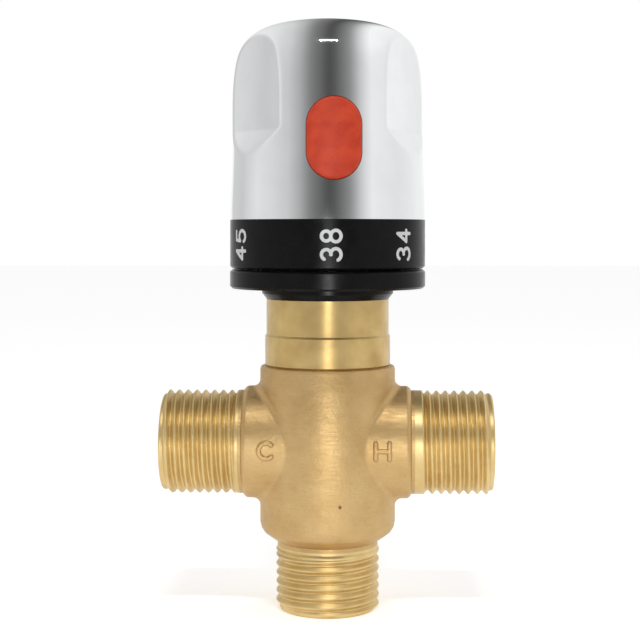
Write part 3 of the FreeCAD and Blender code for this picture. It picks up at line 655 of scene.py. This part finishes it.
def run_tree(mesh: bpy.types.Mesh, tree: bpy.types.NodeTree, values: dict) -> bpy.types.Mesh:
    """Run a mesh through a Geometry Nodes tree.

    Args:
        mesh: the input mesh.
        tree: the node group.
        values: input name to value.

    Returns:
        A new plain mesh, with no modifier left on it.
    """
    holder = new_object("tree_input", mesh)
    modifier = holder.modifiers.new("tree", "NODES")
    modifier.node_group = tree
    for item in tree.interface.items_tree:
        if item.item_type == "SOCKET" and item.in_out == "INPUT" and item.name in values:
            modifier[item.identifier] = values[item.name]
    evaluated = holder.evaluated_get(bpy.context.evaluated_depsgraph_get())
    result = bpy.data.meshes.new_from_object(evaluated)
    holder.modifiers.remove(modifier)
    bpy.data.objects.remove(holder)
    return result


@dataclass
class PortThread:
    """One male pipe port, turned and threaded, standing on +Z from the valve's centre."""

    inner: float                       # where the turned sleeve begins
    thread_from: float
    end: float
    start: float                       # share of a turn that the crest is set round by
    neck_r: float = 0.0                # radius of a turned neck inside thread_from, if it has one
    depth: float = 0.80 * MM
    run_out: float = 0.7 * MM
    major_r: float = 10.4775 * MM
    pitch: float = 1.814 * MM
    bore_r: float = 7.0 * MM
    chamfer: float = 0.95 * MM
    bore_lip: float = 0.35 * MM
    neck_step: float = 0.4 * MM        # length of the slope from thread to neck
    row: float = 0.11 * MM
    columns: int = 168
    crisp: float = 50.0                # degrees from which an edge is sharp

    def outline(self) -> list[tuple[float, float]]:
        """Trace the sleeve's section.

        Returns:
            Radius and height of each corner, from the bore round to the inner end.
        """
        points = [(self.bore_r, self.inner), (self.bore_r, self.end - self.bore_lip)]
        points += [(self.bore_r + self.bore_lip, self.end), (self.major_r - self.chamfer, self.end)]
        points += [(self.major_r, self.end - self.chamfer)]
        if self.neck_r:
            points += [(self.major_r, self.thread_from), (self.neck_r, self.thread_from - self.neck_step)]
        points += [(self.neck_r or self.major_r, self.inner)]
        return points

    def sleeve(self) -> bpy.types.Mesh:
        """Turn the outline into a closed sleeve.

        Returns:
            The sleeve, finely divided where the thread goes.
        """
        section = []
        outline = self.outline()
        for (r0, z0), (r1, z1) in zip(outline, outline[1:] + outline[:1]):
            # only the long outer walls take the thread
            threaded = min(r0, r1) > self.bore_r + 1.0 * MM and abs(z1 - z0) > 0.5 * MM
            steps = max(1, round(abs(z1 - z0) / self.row)) if threaded else 1
            section += [(r0 + (r1 - r0) * i / steps, z0 + (z1 - z0) * i / steps) for i in range(steps)]
        turn = np.linspace(0, 2 * math.pi, self.columns, endpoint=False)
        r, z = (np.array(values)[:, None] for values in zip(*section))
        points = np.stack([r * np.cos(turn), r * np.sin(turn), z + 0 * turn], -1).reshape(-1, 3)
        return mesh_from("port sleeve", points, ring_faces(len(section), self.columns, closed=True))

    def mesh(self, tree: bpy.types.NodeTree, material: bpy.types.Material) -> bpy.types.Mesh:
        """Cut the thread into the sleeve.

        Args:
            tree: the thread's node group.
            material: the material of the port.

        Returns:
            The threaded port.
        """
        cut = run_tree(self.sleeve(), tree, {
            "Pitch": self.pitch,
            "Start": self.start,
            "Depth": self.depth,
            "From": self.thread_from,
            "To": self.end - 0.02 * MM,        # short of the end face, which stays flat
            "Run Out": self.run_out,
            "Least Radius": self.major_r - self.depth,
            "Material": material,
        })
        smooth_by_angle(cut, self.crisp)
        return cut


@dataclass
class Marking:
    """A glyph drawn as round-ended strokes, meshed from its distance field."""

    strokes: Sequence[Sequence[tuple[float, float]]]
    height: float
    width: float
    stroke: float
    cell: float                        # side of the grid that it is meshed on
    rise: float                        # height of its crest
    sink: float                        # how far its bottom lies under the surface
    crown: float = 0.0                 # 0 for a flat top, more for a rounded one
    seat: float = 0.0                  # how far its top's foot lies under the surface

    def distance(self, u: np.ndarray, v: np.ndarray) -> np.ndarray:
        """Distance from points to the nearest stroke's centre line.

        Args:
            u: the points' places across the glyph.
            v: their places up it.

        Returns:
            The distances.
        """
        best = np.full(u.shape, 1e9)
        for line in self.strokes:
            for (x0, y0), (x1, y1) in zip(line, line[1:]):
                ax, ay, bx, by = x0 * self.width, y0 * self.height, x1 * self.width, y1 * self.height
                dx, dy = bx - ax, by - ay
                t = np.clip(((u - ax) * dx + (v - ay) * dy) / max(dx * dx + dy * dy, 1e-18), 0, 1)
                best = np.minimum(best, np.hypot(u - ax - t * dx, v - ay - t * dy))
        return best

    def solid(self) -> tuple[np.ndarray, list[list[int]]]:
        """Mesh the glyph as a closed solid on a flat surface.

        Returns:
            Points, each across and up the glyph and above the surface, and faces.
        """
        half = self.stroke / 2
        us = np.arange(-half - self.cell, self.width + half + 2 * self.cell, self.cell)
        vs = np.arange(-half - self.cell, self.height + half + 2 * self.cell, self.cell)
        u, v = np.meshgrid(us, vs, indexing="ij")
        field = self.distance(u, v) - half
        corners, rings = {}, []
        for i in range(len(us) - 1):
            for j in range(len(vs) - 1):
                cell_corners = [(i, j), (i + 1, j), (i + 1, j + 1), (i, j + 1)]
                ring = []
                for (p, q), (r, s) in zip(cell_corners, cell_corners[1:] + cell_corners[:1]):
                    here, there = field[p, q], field[r, s]
                    if here < 0:
                        ring.append(((p, q),))
                        corners.setdefault(ring[-1], (us[p], vs[q]))
                    if (here < 0) != (there < 0):
                        t = here / (here - there)
                        edge = (us[p] + t * (us[r] - us[p]), vs[q] + t * (vs[s] - vs[q]))
                        ring.append(tuple(sorted(((p, q), (r, s)))))
                        corners.setdefault(ring[-1], edge)
                if len(ring) > 2:
                    rings.append(ring)
        number = {key: n for n, key in enumerate(corners)}
        polygons = [[number[key] for key in ring] for ring in rings]
        flat = np.array(list(corners.values()))
        across = self.distance(flat[:, 0], flat[:, 1]) / half
        top = self.rise * np.clip(1 - across ** 2, 0, 1) ** self.crown - self.seat
        bottom = np.full(len(flat), -self.sink)
        points = np.vstack([np.column_stack([flat, level]) for level in (top, bottom)])
        count = len(flat)
        faces = polygons + [[k + count for k in reversed(p)] for p in polygons]
        edges = dict.fromkeys((a, b) for p in polygons for a, b in zip(p, p[1:] + p[:1]))
        faces += [[b, a, a + count, b + count] for a, b in edges if (b, a) not in edges]
        return points, faces


def bow(cx: float, cy: float, rx: float, ry: float, start: float, end: float,
        steps: int = 18) -> list[tuple[float, float]]:
    """Points of an elliptical bow, angles in degrees."""
    turn = [math.radians(start + (end - start) * i / steps) for i in range(steps + 1)]
    return [(cx + rx * math.cos(a), cy + ry * math.sin(a)) for a in turn]


GLYPHS: dict[str, list[list[tuple[float, float]]]] = {
    "0": [bow(0.5, 0.5, 0.5, 0.5, 0, 360, 32)],
    "2": [bow(0.5, 0.73, 0.47, 0.27, 170, -35) + [(0.0, 0.0), (1.0, 0.0)]],
    "3": [bow(0.46, 0.755, 0.44, 0.245, 155, -90), bow(0.46, 0.265, 0.52, 0.265, 90, -155)],
    "4": [[(0.72, 0.0), (0.72, 1.0), (0.0, 0.3), (1.0, 0.3)]],
    "5": [[(0.92, 1.0), (0.14, 1.0), (0.06, 0.52)] + bow(0.46, 0.32, 0.52, 0.32, 125, -150)],
    "6": [bow(0.5, 0.3, 0.5, 0.3, 0, 360, 28), [(0.82, 0.98), (0.35, 0.8), (0.04, 0.42)]],
    "8": [bow(0.5, 0.76, 0.43, 0.24, 0, 360, 26), bow(0.5, 0.265, 0.5, 0.265, 0, 360, 28)],
    "C": [bow(0.56, 0.5, 0.56, 0.5, 48, 312, 26)],
    "H": [[(0.0, 0.0), (0.0, 1.0)], [(1.0, 0.0), (1.0, 1.0)], [(0.0, 0.5), (1.0, 0.5)]],
}


@dataclass
class ValveBody:
    """The forged tee with its three threaded ports and its raised cold and hot marks."""

    palette: Palette
    port_z: float = 33.7 * MM
    arm_r: float = 11.35 * MM
    inlet_cut: float = 17.6 * MM
    cold_thread_from: float = 18.1 * MM
    hot_thread_from: float = 19.1 * MM
    inlet_end: float = 33.4 * MM
    outlet_cut: float = 13.0 * MM
    outlet_neck_r: float = 10.2 * MM
    outlet_thread_from: float = 12.1 * MM
    outlet_depth: float = 0.7 * MM
    machined_x: float = 17.05 * MM     # from here out the inlets are turned
    inlet_bore_x: float = 10.9 * MM    # from here out their bores are, too
    inlet_bore_r: float = 7.3 * MM
    lower_face_z: float = 13.9 * MM    # below here the outlet is turned
    upper_face_z: float = 48.9 * MM    # above here the top is
    barrel_bore_r: float = 11.7 * MM
    crisp: float = 28.0                # degrees from which an edge of the forging is sharp
    marks_z: float = 33.4 * MM
    marks_x: tuple[tuple[str, float], ...] = (("C", -11.9 * MM), ("H", 11.2 * MM))
    mark_height: float = 4.2 * MM
    mark_width: float = 2.7 * MM
    mark_stroke: float = 1.05 * MM
    mark_rise: float = 0.42 * MM

    def forging(self) -> bpy.types.Mesh:
        """Cut the forging's plain stubs off where the turned sleeves take over.

        Returns:
            The forging, closed at its cuts.
        """
        mesh = frame["nodes"]["valve_body"].data.copy()
        mesh.name = "forging"
        with edited(mesh) as work:
            bmesh.ops.remove_doubles(work, verts=work.verts, dist=2e-7)
        if mesh.attributes.get("custom_normal") is not None:
            mesh.attributes.remove(mesh.attributes["custom_normal"])
        margin = 0.05 * MM             # the sleeves reach this far into the forging
        cuts = [
            (Vector((self.inlet_cut + margin, 0, 0)), Vector((1, 0, 0))),
            (Vector((-self.inlet_cut - margin, 0, 0)), Vector((-1, 0, 0))),
            (Vector((0, 0, self.outlet_cut - margin)), Vector((0, 0, -1))),
        ]
        with edited(mesh) as work:
            for point, outward in cuts:
                found = bmesh.ops.bisect_plane(
                    work, geom=work.verts[:] + work.edges[:] + work.faces[:], dist=1e-8,
                    plane_co=point, plane_no=outward, clear_outer=True)
                rim = [e for e in found["geom_cut"] if isinstance(e, bmesh.types.BMEdge)]
                bmesh.ops.triangle_fill(work, edges=rim, use_beauty=True, normal=outward)
            for face in work.faces:
                face.material_index = self.region(face.calc_center_median())
        mesh.materials.clear()
        for finish in (FORGED, THREADED_ACROSS, TURNED):
            mesh.materials.append(self.palette.of(finish))
        smooth_by_angle(mesh, self.crisp)
        return mesh

    def region(self, centre: Vector) -> int:
        """Find how a face of the forging was made.

        Args:
            centre: the face's middle.

        Returns:
            Its material index: 0 for forged skin, 1 for turned across and 2 for turned upright.
        """
        from_axis = math.hypot(centre.x, centre.y)
        from_port = math.hypot(centre.y, centre.z - self.port_z)
        in_inlet = abs(centre.x) > self.inlet_bore_x and from_port < self.inlet_bore_r
        if abs(centre.x) > self.machined_x or in_inlet:
            return 1
        if not self.lower_face_z <= centre.z <= self.upper_face_z or from_axis < self.barrel_bore_r:
            return 2
        return 0

    def marks(self) -> list[bpy.types.Mesh]:
        """Raise the C on the cold arm and the H on the hot arm.

        Returns:
            One mesh a letter.
        """
        made = []
        for letter, centre_x in self.marks_x:
            glyph = Marking(
                GLYPHS[letter], self.mark_height - self.mark_stroke, self.mark_width, self.mark_stroke,
                cell=0.09 * MM, rise=self.mark_rise, sink=0.5 * MM, crown=0.6, seat=0.04 * MM)
            points, faces = glyph.solid()
            x, z, rise = points.T
            x = x + centre_x - glyph.width / 2
            z = z + self.marks_z - glyph.height / 2
            y = -np.sqrt(np.maximum((self.arm_r + rise) ** 2 - (z - self.port_z) ** 2, 0))
            mesh = mesh_from("mark " + letter, np.stack([x, y, z], -1), faces)
            mesh.materials.append(self.palette.of(FORGED))
            made.append(mesh)
        return made

    def build(self) -> bpy.types.Object:
        """Join the forging, sleeves and marks into one piece.

        Returns:
            The dressed body.
        """
        tree = thread_tree()
        hot = PortThread(self.inlet_cut, self.hot_thread_from, self.inlet_end, start=0.25)
        cold = PortThread(self.inlet_cut, self.cold_thread_from, self.inlet_end, start=0.2)
        outlet = PortThread(-self.outlet_cut, -self.outlet_thread_from, 0.0, start=0.5,
                            neck_r=self.outlet_neck_r, depth=self.outlet_depth)
        centre = Matrix.Translation((0, 0, self.port_z))
        ports = []
        for port, finish, place in (
            (hot, THREADED_ACROSS, centre @ Matrix.Rotation(math.pi / 2, 4, "Y")),
            (cold, THREADED_ACROSS, centre @ Matrix.Rotation(-math.pi / 2, 4, "Y")),
            (outlet, THREADED, Matrix.Rotation(math.pi, 4, "X")),
        ):
            mesh = port.mesh(tree, self.palette.of(finish))
            mesh.transform(place)
            ports.append(mesh)
        body = joined("valve_body_dressed", [self.forging()] + ports + self.marks())
        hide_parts("valve_body")
        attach(body, "valve")
        return body


# ---------------------------------------------------------------- handle

@dataclass
class HandleCap:
    """Chromed cap: a tapered wall turning into a crown, three finger scallops, the button's window."""

    palette: Palette
    clock: float                       # angle of the button from the front, radians
    # radius and height along the wall
    knots: tuple[tuple[float, float], ...] = (
        (19.82 * MM, 79.0 * MM), (19.6 * MM, 87.0 * MM), (19.4 * MM, 96.0 * MM), (19.35 * MM, 104.5 * MM),
        (18.6 * MM, 111.3 * MM))
    crown_r: float = 10.0 * MM
    crown_z: float = 118.65 * MM
    crown_slope: float = 0.2
    hold: float = 0.56                 # share of the shoulder's reach that its tangents hold
    wall: float = 1.6 * MM
    scallops: tuple[float, ...] = (60.0, 180.0, 300.0)     # degrees round from the button
    scallop_r: float = 16.5 * MM
    hollow_r: float = 60.0 * MM
    scallop_floor: float = 96.8 * MM
    crease: float = 0.14 * MM
    run_out: float = math.radians(31.0)
    edge: float = 0.45 * MM
    window_half_width: float = 5.43 * MM
    window_half_height: float = 8.06 * MM
    window_z: float = 94.5 * MM
    rim: float = 0.02 * MM             # a chamfer that just breaks the window's edge
    relief: float = 0.5 * MM           # how much wider the window is on the inside
    columns: int = 420
    inner_columns: int = 140
    crisp: float = 40.0                # degrees from which an edge is sharp

    def profile(self, inset: float) -> np.ndarray:
        """Radius and height of the turned form, from the bottom of the wall to the axis.

        Args:
            inset: how far inside the outer form it lies.

        Returns:
            One row a point.
        """
        wall_rows, shoulder_rows, crown_rows = (20, 14, 5) if inset else (110, 56, 14)
        knots = np.array(self.knots)
        bottom, (shoulder_r, shoulder_z) = knots[0, 1], knots[-1]
        fit = np.polyfit(knots[:, 1] - bottom, knots[:, 0] - inset, len(knots) - 1)
        z = np.linspace(bottom, shoulder_z, wall_rows)
        wall = np.stack([np.polyval(fit, z - bottom), z], -1)
        crown_z = self.crown_z - inset
        out = self.hold * (shoulder_r - inset - self.crown_r)
        up = self.hold * (crown_z - shoulder_z)
        lean = np.polyval(np.polyder(fit), shoulder_z - bottom)
        start = Vector((shoulder_r - inset, shoulder_z))
        end = Vector((self.crown_r, crown_z))
        shoulder = interpolate_bezier(
            start, start + Vector((lean * up, up)),
            end + Vector((out, -self.crown_slope * out)), end, shoulder_rows)
        r = np.linspace(self.crown_r, 0, crown_rows)[1:]
        flat = self.crown_slope / (2 * self.crown_r)
        crown = np.stack([r, crown_z + flat * (self.crown_r ** 2 - r ** 2)], -1)
        return np.vstack([wall, np.array([(p.x, p.y) for p in shoulder[1:]]), crown])

    def scalloped(self, r: np.ndarray, z: np.ndarray, angle: np.ndarray, inset: float) -> np.ndarray:
        """Radius once the scallops are cut, with their edges rounded.

        Args:
            r: radius of the turned form.
            z: height.
            angle: angle from the button, radians.
            inset: how far inside the outer form the surface lies.

        Returns:
            The new radius.
        """
        axis = self.scallop_r - inset + self.hollow_r
        # under its floor a scallop runs out, past a soft crease
        below = self.scallop_floor - 0.6 * inset - z
        below = self.crease * np.logaddexp(0, np.clip(below / self.crease, -60, 60))
        reach = self.hollow_r - below * math.tan(self.run_out)
        cut = r
        for centre in self.scallops:
            away = np.mod(angle - math.radians(centre) + math.pi, 2 * math.pi) - math.pi
            across = reach ** 2 - (axis * np.sin(away)) ** 2
            face = axis * np.cos(away) - np.sqrt(np.maximum(across, 0))
            # where there is no scallop, its face lies far outside
            face = np.where((across > 0) & (np.abs(away) < 1.0), face, 10 * r + MM)
            blend = np.clip(self.edge - np.abs(cut - face), 0, None) / self.edge
            cut = np.minimum(cut, face) - blend ** 2 * self.edge / 4
        return cut

    def window_distance(self, x: float, z: float) -> tuple[float, float, float]:
        """Measure a point against the window's outline.

        Args:
            x: the point's place across the cap.
            z: its height.

        Returns:
            Its distance outside the outline, and the x and z of the outward direction there.
        """
        straight = self.window_half_height - self.window_half_width
        dz = z - self.window_z
        away_z = dz - max(-straight, min(straight, dz))
        length = math.hypot(x, away_z) or 1e-9
        return length - self.window_half_width, x / length, away_z / length

    def front(self, x: float, z: float, profile: np.ndarray, sunk: float = 0.0) -> tuple[float, float, float]:
        """Point on the cap's front lobe at x and z, sunk under its surface."""
        r = float(np.interp(z, profile[:, 1], profile[:, 0])) - sunk
        return (x, -math.sqrt(max(r * r - x * x, 0.0)), z)

    def skin(self, inset: float, columns: int) -> bpy.types.Mesh:
        """Mesh one skin of the cap, with the window cut out of it.

        Args:
            inset: how far inside the outer form it lies, 0 for the outer skin.
            columns: how many points it has round the cap.

        Returns:
            The skin, closed at the crown.
        """
        profile = self.profile(inset)
        turn = np.linspace(0, 2 * math.pi, columns, endpoint=False)
        r, angle = np.meshgrid(profile[:, 0], turn, indexing="ij")
        z = np.repeat(profile[:, 1][:, None], columns, 1)
        r = self.scalloped(r, z, angle, inset)
        r[-1] = 0.0
        points = np.stack([r * np.sin(angle), -r * np.cos(angle), z], -1).reshape(-1, 3)
        mesh = mesh_from("cap skin", points, ring_faces(len(profile), columns))
        if inset:
            mesh.flip_normals()        # both skins face out of the wall, so that they bridge straight
        with edited(mesh) as work:
            if inset:
                self.cut_window(work, profile, self.relief)
            else:
                self.turn_rim(work, profile, self.cut_window(work, profile, self.rim))
        return mesh

    def cut_window(self, work: bmesh.types.BMesh, profile: np.ndarray,
                   room: float) -> list[bmesh.types.BMEdge]:
        """Cut the window out of a skin.

        Args:
            work: the skin.
            profile: its turned form.
            room: how far outside the window's outline the cut runs.

        Returns:
            The edges round the cut.
        """
        middles = ((face, face.calc_center_median()) for face in work.faces)
        gone = [face for face, at in middles if at.y < 0 and self.window_distance(at.x, at.z)[0] < room]
        bmesh.ops.delete(work, geom=gone, context="FACES")
        above = profile[0, 1] + 1 * MM
        for vert in (v for v in work.verts if v.is_boundary and v.co.z > above):
            d, nx, nz = self.window_distance(vert.co.x, vert.co.z)
            vert.co = self.front(vert.co.x - nx * (d - room), vert.co.z - nz * (d - room), profile)
        return [e for e in work.edges if e.is_boundary and e.verts[0].co.z > above]

    def turn_rim(self, work: bmesh.types.BMesh, profile: np.ndarray,
                 edges: list[bmesh.types.BMEdge]) -> None:
        """Turn the window's rim straight inwards, through the wall.

        Args:
            work: the outer skin.
            profile: its turned form.
            edges: the edges round the window.
        """
        for sunk in (self.rim, 0.3 * MM, self.wall):
            made = bmesh.ops.extrude_edge_only(work, edges=edges)["geom"]
            for vert in (g for g in made if isinstance(g, bmesh.types.BMVert)):
                d, nx, nz = self.window_distance(vert.co.x, vert.co.z)
                vert.co = self.front(vert.co.x - nx * d, vert.co.z - nz * d, profile, sunk)
            edges = [g for g in made if isinstance(g, bmesh.types.BMEdge) and g.is_boundary]
        bmesh.ops.recalc_face_normals(work, faces=work.faces)

    def close(self, mesh: bpy.types.Mesh) -> None:
        """Bridge the two skins along the cap's bottom edge and round the window.

        Args:
            mesh: both skins.
        """
        above = self.knots[0][1] + 1 * MM
        with edited(mesh) as work:
            loose = [e for e in work.edges if e.is_boundary]
            bottom = [e for e in loose if max(v.co.z for v in e.verts) < above]
            window = [e for e in loose if min(v.co.z for v in e.verts) > above]
            for rim in (bottom, window):
                bmesh.ops.bridge_loops(work, edges=rim)
            bmesh.ops.recalc_face_normals(work, faces=work.faces)
            LOG.info("cap: %d open edges", sum(e.is_boundary for e in work.edges))

    def build(self) -> bpy.types.Object:
        """Mesh the cap: outer skin, window with its rim, inner skin and bottom edge.

        Returns:
            The chromed cap.
        """
        skins = [self.skin(0.0, self.columns), self.skin(self.wall, self.inner_columns)]
        cap = joined("handle_cap_chromed", skins)
        self.close(cap.data)
        cap.data.materials.append(self.palette.of(CHROMED))
        smooth_by_angle(cap.data, self.crisp)
        cap.data.transform(Matrix.Rotation(self.clock, 4, "Z"))
        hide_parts("handle_cap")
        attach(cap, "handle")
        return cap


@dataclass
class ScaleNumbers:
    """Numbers printed round the scale ring, read from bottom to top."""

    palette: Palette
    clock: float                       # angle of the button from the front, radians
    # each number's angle from the button, degrees, positive to the right
    places: tuple[tuple[str, float], ...] = (
        ("38", -1.8), ("34", 44.7), ("30", 91.0), ("26", 137.0), ("45", -63.7), ("50", -108.0))
    ring_r: float = 19.87 * MM
    centre_z: float = 74.0 * MM
    digit_height: float = 3.75 * MM
    digit_width: float = 2.2 * MM
    stroke: float = 0.66 * MM
    gap: float = 1.25 * MM
    print_height: float = 0.03 * MM

    def build(self) -> bpy.types.Object:
        """Mesh every digit on the ring.

        Returns:
            The numbers.
        """
        meshes = []
        for number, degrees in self.places:
            length = 2 * self.digit_width + self.gap
            for i, digit in enumerate(number):
                low = self.centre_z - length / 2 + i * (self.digit_width + self.gap)
                meshes.append(self.digit(digit, math.radians(degrees) + self.clock, low))
        numbers = joined("scale_numbers", meshes)
        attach(numbers, "handle")
        return numbers

    def digit(self, digit: str, middle: float, low: float) -> bpy.types.Mesh:
        """Print one digit, its top turned to the left.

        Args:
            digit: which digit.
            middle: angle of its middle from the front, radians.
            low: height of its left side.

        Returns:
            The digit, laid on the ring.
        """
        glyph = Marking(GLYPHS[digit], self.digit_height, self.digit_width, self.stroke,
                        cell=0.085 * MM, rise=self.print_height, sink=0.05 * MM)
        points, faces = glyph.solid()
        u, v, rise = points.T
        angle = middle - (v - self.digit_height / 2) / self.ring_r
        r = self.ring_r + rise
        placed = np.stack([r * np.sin(angle), -r * np.cos(angle), low + u], -1)
        mesh = mesh_from("digit " + digit, placed, faces)
        mesh.materials.append(self.palette.of(PAINT))
        return mesh


# ---------------------------------------------------------------- light and camera

@dataclass
class Studio:
    """Pale floor, soft light and the camera."""

    eye_height: float = 76.3 * MM
    distance: float = 290.0 * MM
    bearing: float = math.radians(2.0)
    lens: float = 79.8
    shift_x: float = -0.0119
    shift_y: float = -0.1359
    floor_half: float = 3.0
    floor_glow: float = 0.41
    ceiling: float = 1.12              # how much brighter the room is overhead
    # level of the room across the dim strip, from far left to far right
    strip: tuple[tuple[float, float], ...] = (
        (-3.0, 0.69), (-2.6, 0.66), (-1.8, 0.86), (-1.25, 0.78), (-0.82, 0.66), (-0.68, 0.56), (-0.54, 0.457),
        (-0.43, 0.347), (-0.326, 0.254), (-0.222, 0.198), (-0.12, 0.157), (0.0, 0.105), (0.084, 0.089),
        (0.186, 0.116), (0.289, 0.17), (0.393, 0.229), (0.5, 0.303), (0.61, 0.445), (0.724, 0.62),
        (0.868, 0.80), (1.02, 0.95), (1.8, 0.88), (2.6, 0.94), (3.0, 0.99))

    def camera(self) -> None:
        """Set a level camera in front, a little to the right."""
        made = bpy.data.cameras.new("camera")
        made.sensor_width = 36.0
        made.lens = self.lens
        made.shift_x = self.shift_x
        made.shift_y = self.shift_y
        made.clip_start = 0.01
        holder = bpy.data.objects.new("camera", made)
        holder.location = (
            self.distance * math.sin(self.bearing), -self.distance * math.cos(self.bearing), self.eye_height)
        holder.rotation_euler = (math.pi / 2, 0, self.bearing)
        bpy.context.scene.collection.objects.link(holder)
        bpy.context.scene.camera = holder

    def floor(self) -> None:
        """Lay a plain pale floor that takes the valve's shadow and glows faintly where it is seen."""
        mesh = bpy.data.meshes.new("floor")
        half = self.floor_half
        corners = [(-half, -half, 0), (half, -half, 0), (half, half, 0), (-half, half, 0)]
        mesh.from_pydata(corners, [], [(0, 1, 2, 3)])
        material = bpy.data.materials.new("pale floor")
        material.use_nodes = True
        material.node_tree.nodes.clear()
        add = partial(add_node, material.node_tree)
        pale = add("ShaderNodeBsdfDiffuse", {"Color": linear("F7F7F7")})
        glow = add("ShaderNodeEmission", {"Color": linear("FFFFFF"), "Strength": self.floor_glow})
        shown = add("ShaderNodeAddShader", (pale, glow))
        path = add("ShaderNodeLightPath").outputs
        seen = path["Is Camera Ray"]
        for ray in ("Is Glossy Ray", "Is Transmission Ray"):
            seen = add("ShaderNodeMath", (seen, path[ray]), operation="MAXIMUM")
        add("ShaderNodeOutputMaterial", (add("ShaderNodeMixShader", (seen, pale, shown)),))
        mesh.materials.append(material)
        new_object("floor", mesh)

    def world(self) -> None:
        """Make a white room, dim in a strip from the front over the top, with a white backdrop behind."""
        world = bpy.data.worlds.new("room")
        bpy.context.scene.world = world
        world.use_nodes = True
        world.node_tree.nodes.clear()
        add = partial(add_node, world.node_tree)
        direction = add("ShaderNodeTexCoord").outputs["Object"]
        x, y, z = add("ShaderNodeSeparateXYZ", (direction,)).outputs
        # the strip tapers as it runs over the top and down behind
        width = add("ShaderNodeMath", (y, -0.45, 0.55), operation="MULTIPLY_ADD")
        across = add("ShaderNodeMath", (x, width), operation="DIVIDE")
        first, last = self.strip[0][0], self.strip[-1][0]
        share = add("ShaderNodeMapRange", (across, first, last, 0.0, 1.0))
        ramp = add("ShaderNodeValToRGB", (share,))
        elements = ramp.color_ramp.elements
        while len(elements) < len(self.strip):
            elements.new(0.5)
        for element, (at, level) in zip(elements, self.strip):
            element.position = (at - first) / (last - first)
            element.color = (level, level, level, 1.0)
        # overhead, what is bright already gets brighter
        overhead, behind, low = (
            add("ShaderNodeMapRange", (value, start, end, 0.0, 1.0), interpolation_type="SMOOTHSTEP")
            for value, start, end in ((z, 0.25, 0.75), (y, 0.84, 0.92), (z, 0.26, 0.17)))
        lift = add("ShaderNodeMath", (overhead, self.ceiling - 1), operation="MULTIPLY")
        gain = add("ShaderNodeMath", (lift, ramp, 1.0), operation="MULTIPLY_ADD")
        room = add("ShaderNodeMath", (ramp, gain), operation="MULTIPLY")
        backdrop = add("ShaderNodeMath", (behind, low), operation="MULTIPLY")
        level = add("ShaderNodeMix", {0: backdrop, 2: room, 3: 1.0})
        add("ShaderNodeOutputWorld", (add("ShaderNodeBackground", (level, 1.0)),))

    def lamp(self, name: str, bearing: float, height: float, distance: float, size: tuple[float, float],
             power: float) -> None:
        """Aim an area lamp at the valve's middle.

        Args:
            name: the lamp's name.
            bearing: degrees round from the front, positive to the right.
            height: degrees above the level.
            distance: metres from the valve.
            size: width and height of the lamp, metres.
            power: watts.
        """
        made = bpy.data.lights.new(name, "AREA")
        made.shape = "RECTANGLE"
        made.size, made.size_y = size
        made.energy = power
        holder = bpy.data.objects.new(name, made)
        aim = Vector((0, 0, 0.06))
        b, h = math.radians(bearing), math.radians(height)
        away = Vector((math.sin(b) * math.cos(h), -math.cos(b) * math.cos(h), math.sin(h)))
        holder.location = aim + distance * away
        holder.rotation_euler = (-away).to_track_quat("-Z", "Y").to_euler()
        bpy.context.scene.collection.objects.link(holder)

    def build(self) -> None:
        """Set up camera, floor, world and lamps."""
        self.camera()
        self.floor()
        self.world()
        # low enough to lie under what the chrome shows, and thin enough to be a hairline in the crown
        self.lamp("low front light", 3.0, -3.2, 0.45, (0.07, 0.045), 0.36)
        self.lamp("overhead strip", 3.0, 58.0, 0.6, (0.16, 0.010), 1.0)
        bpy.context.scene.view_settings.view_transform = "Standard"


def handle_clock() -> float:
    """Angle of the button from the front, from the axis that it is pressed along."""
    press = next(j for j in frame["joints"] if j["name"] == "button_press")
    return math.atan2(-press["axis"][0], press["axis"][1])


def main() -> None:
    """Build every class in order."""
    logging.basicConfig(level=logging.INFO, format="%(name)s %(message)s")
    Studio().build()
    palette = Palette()
    palette.dress_nodes()
    clock = handle_clock()
    for assembly in (ValveBody(palette), HandleCap(palette, clock), ScaleNumbers(palette, clock)):
        piece = assembly.build()
        LOG.info("%s: %d faces", piece.name, len(piece.data.polygons))


if __name__ == "__main__":
    main()
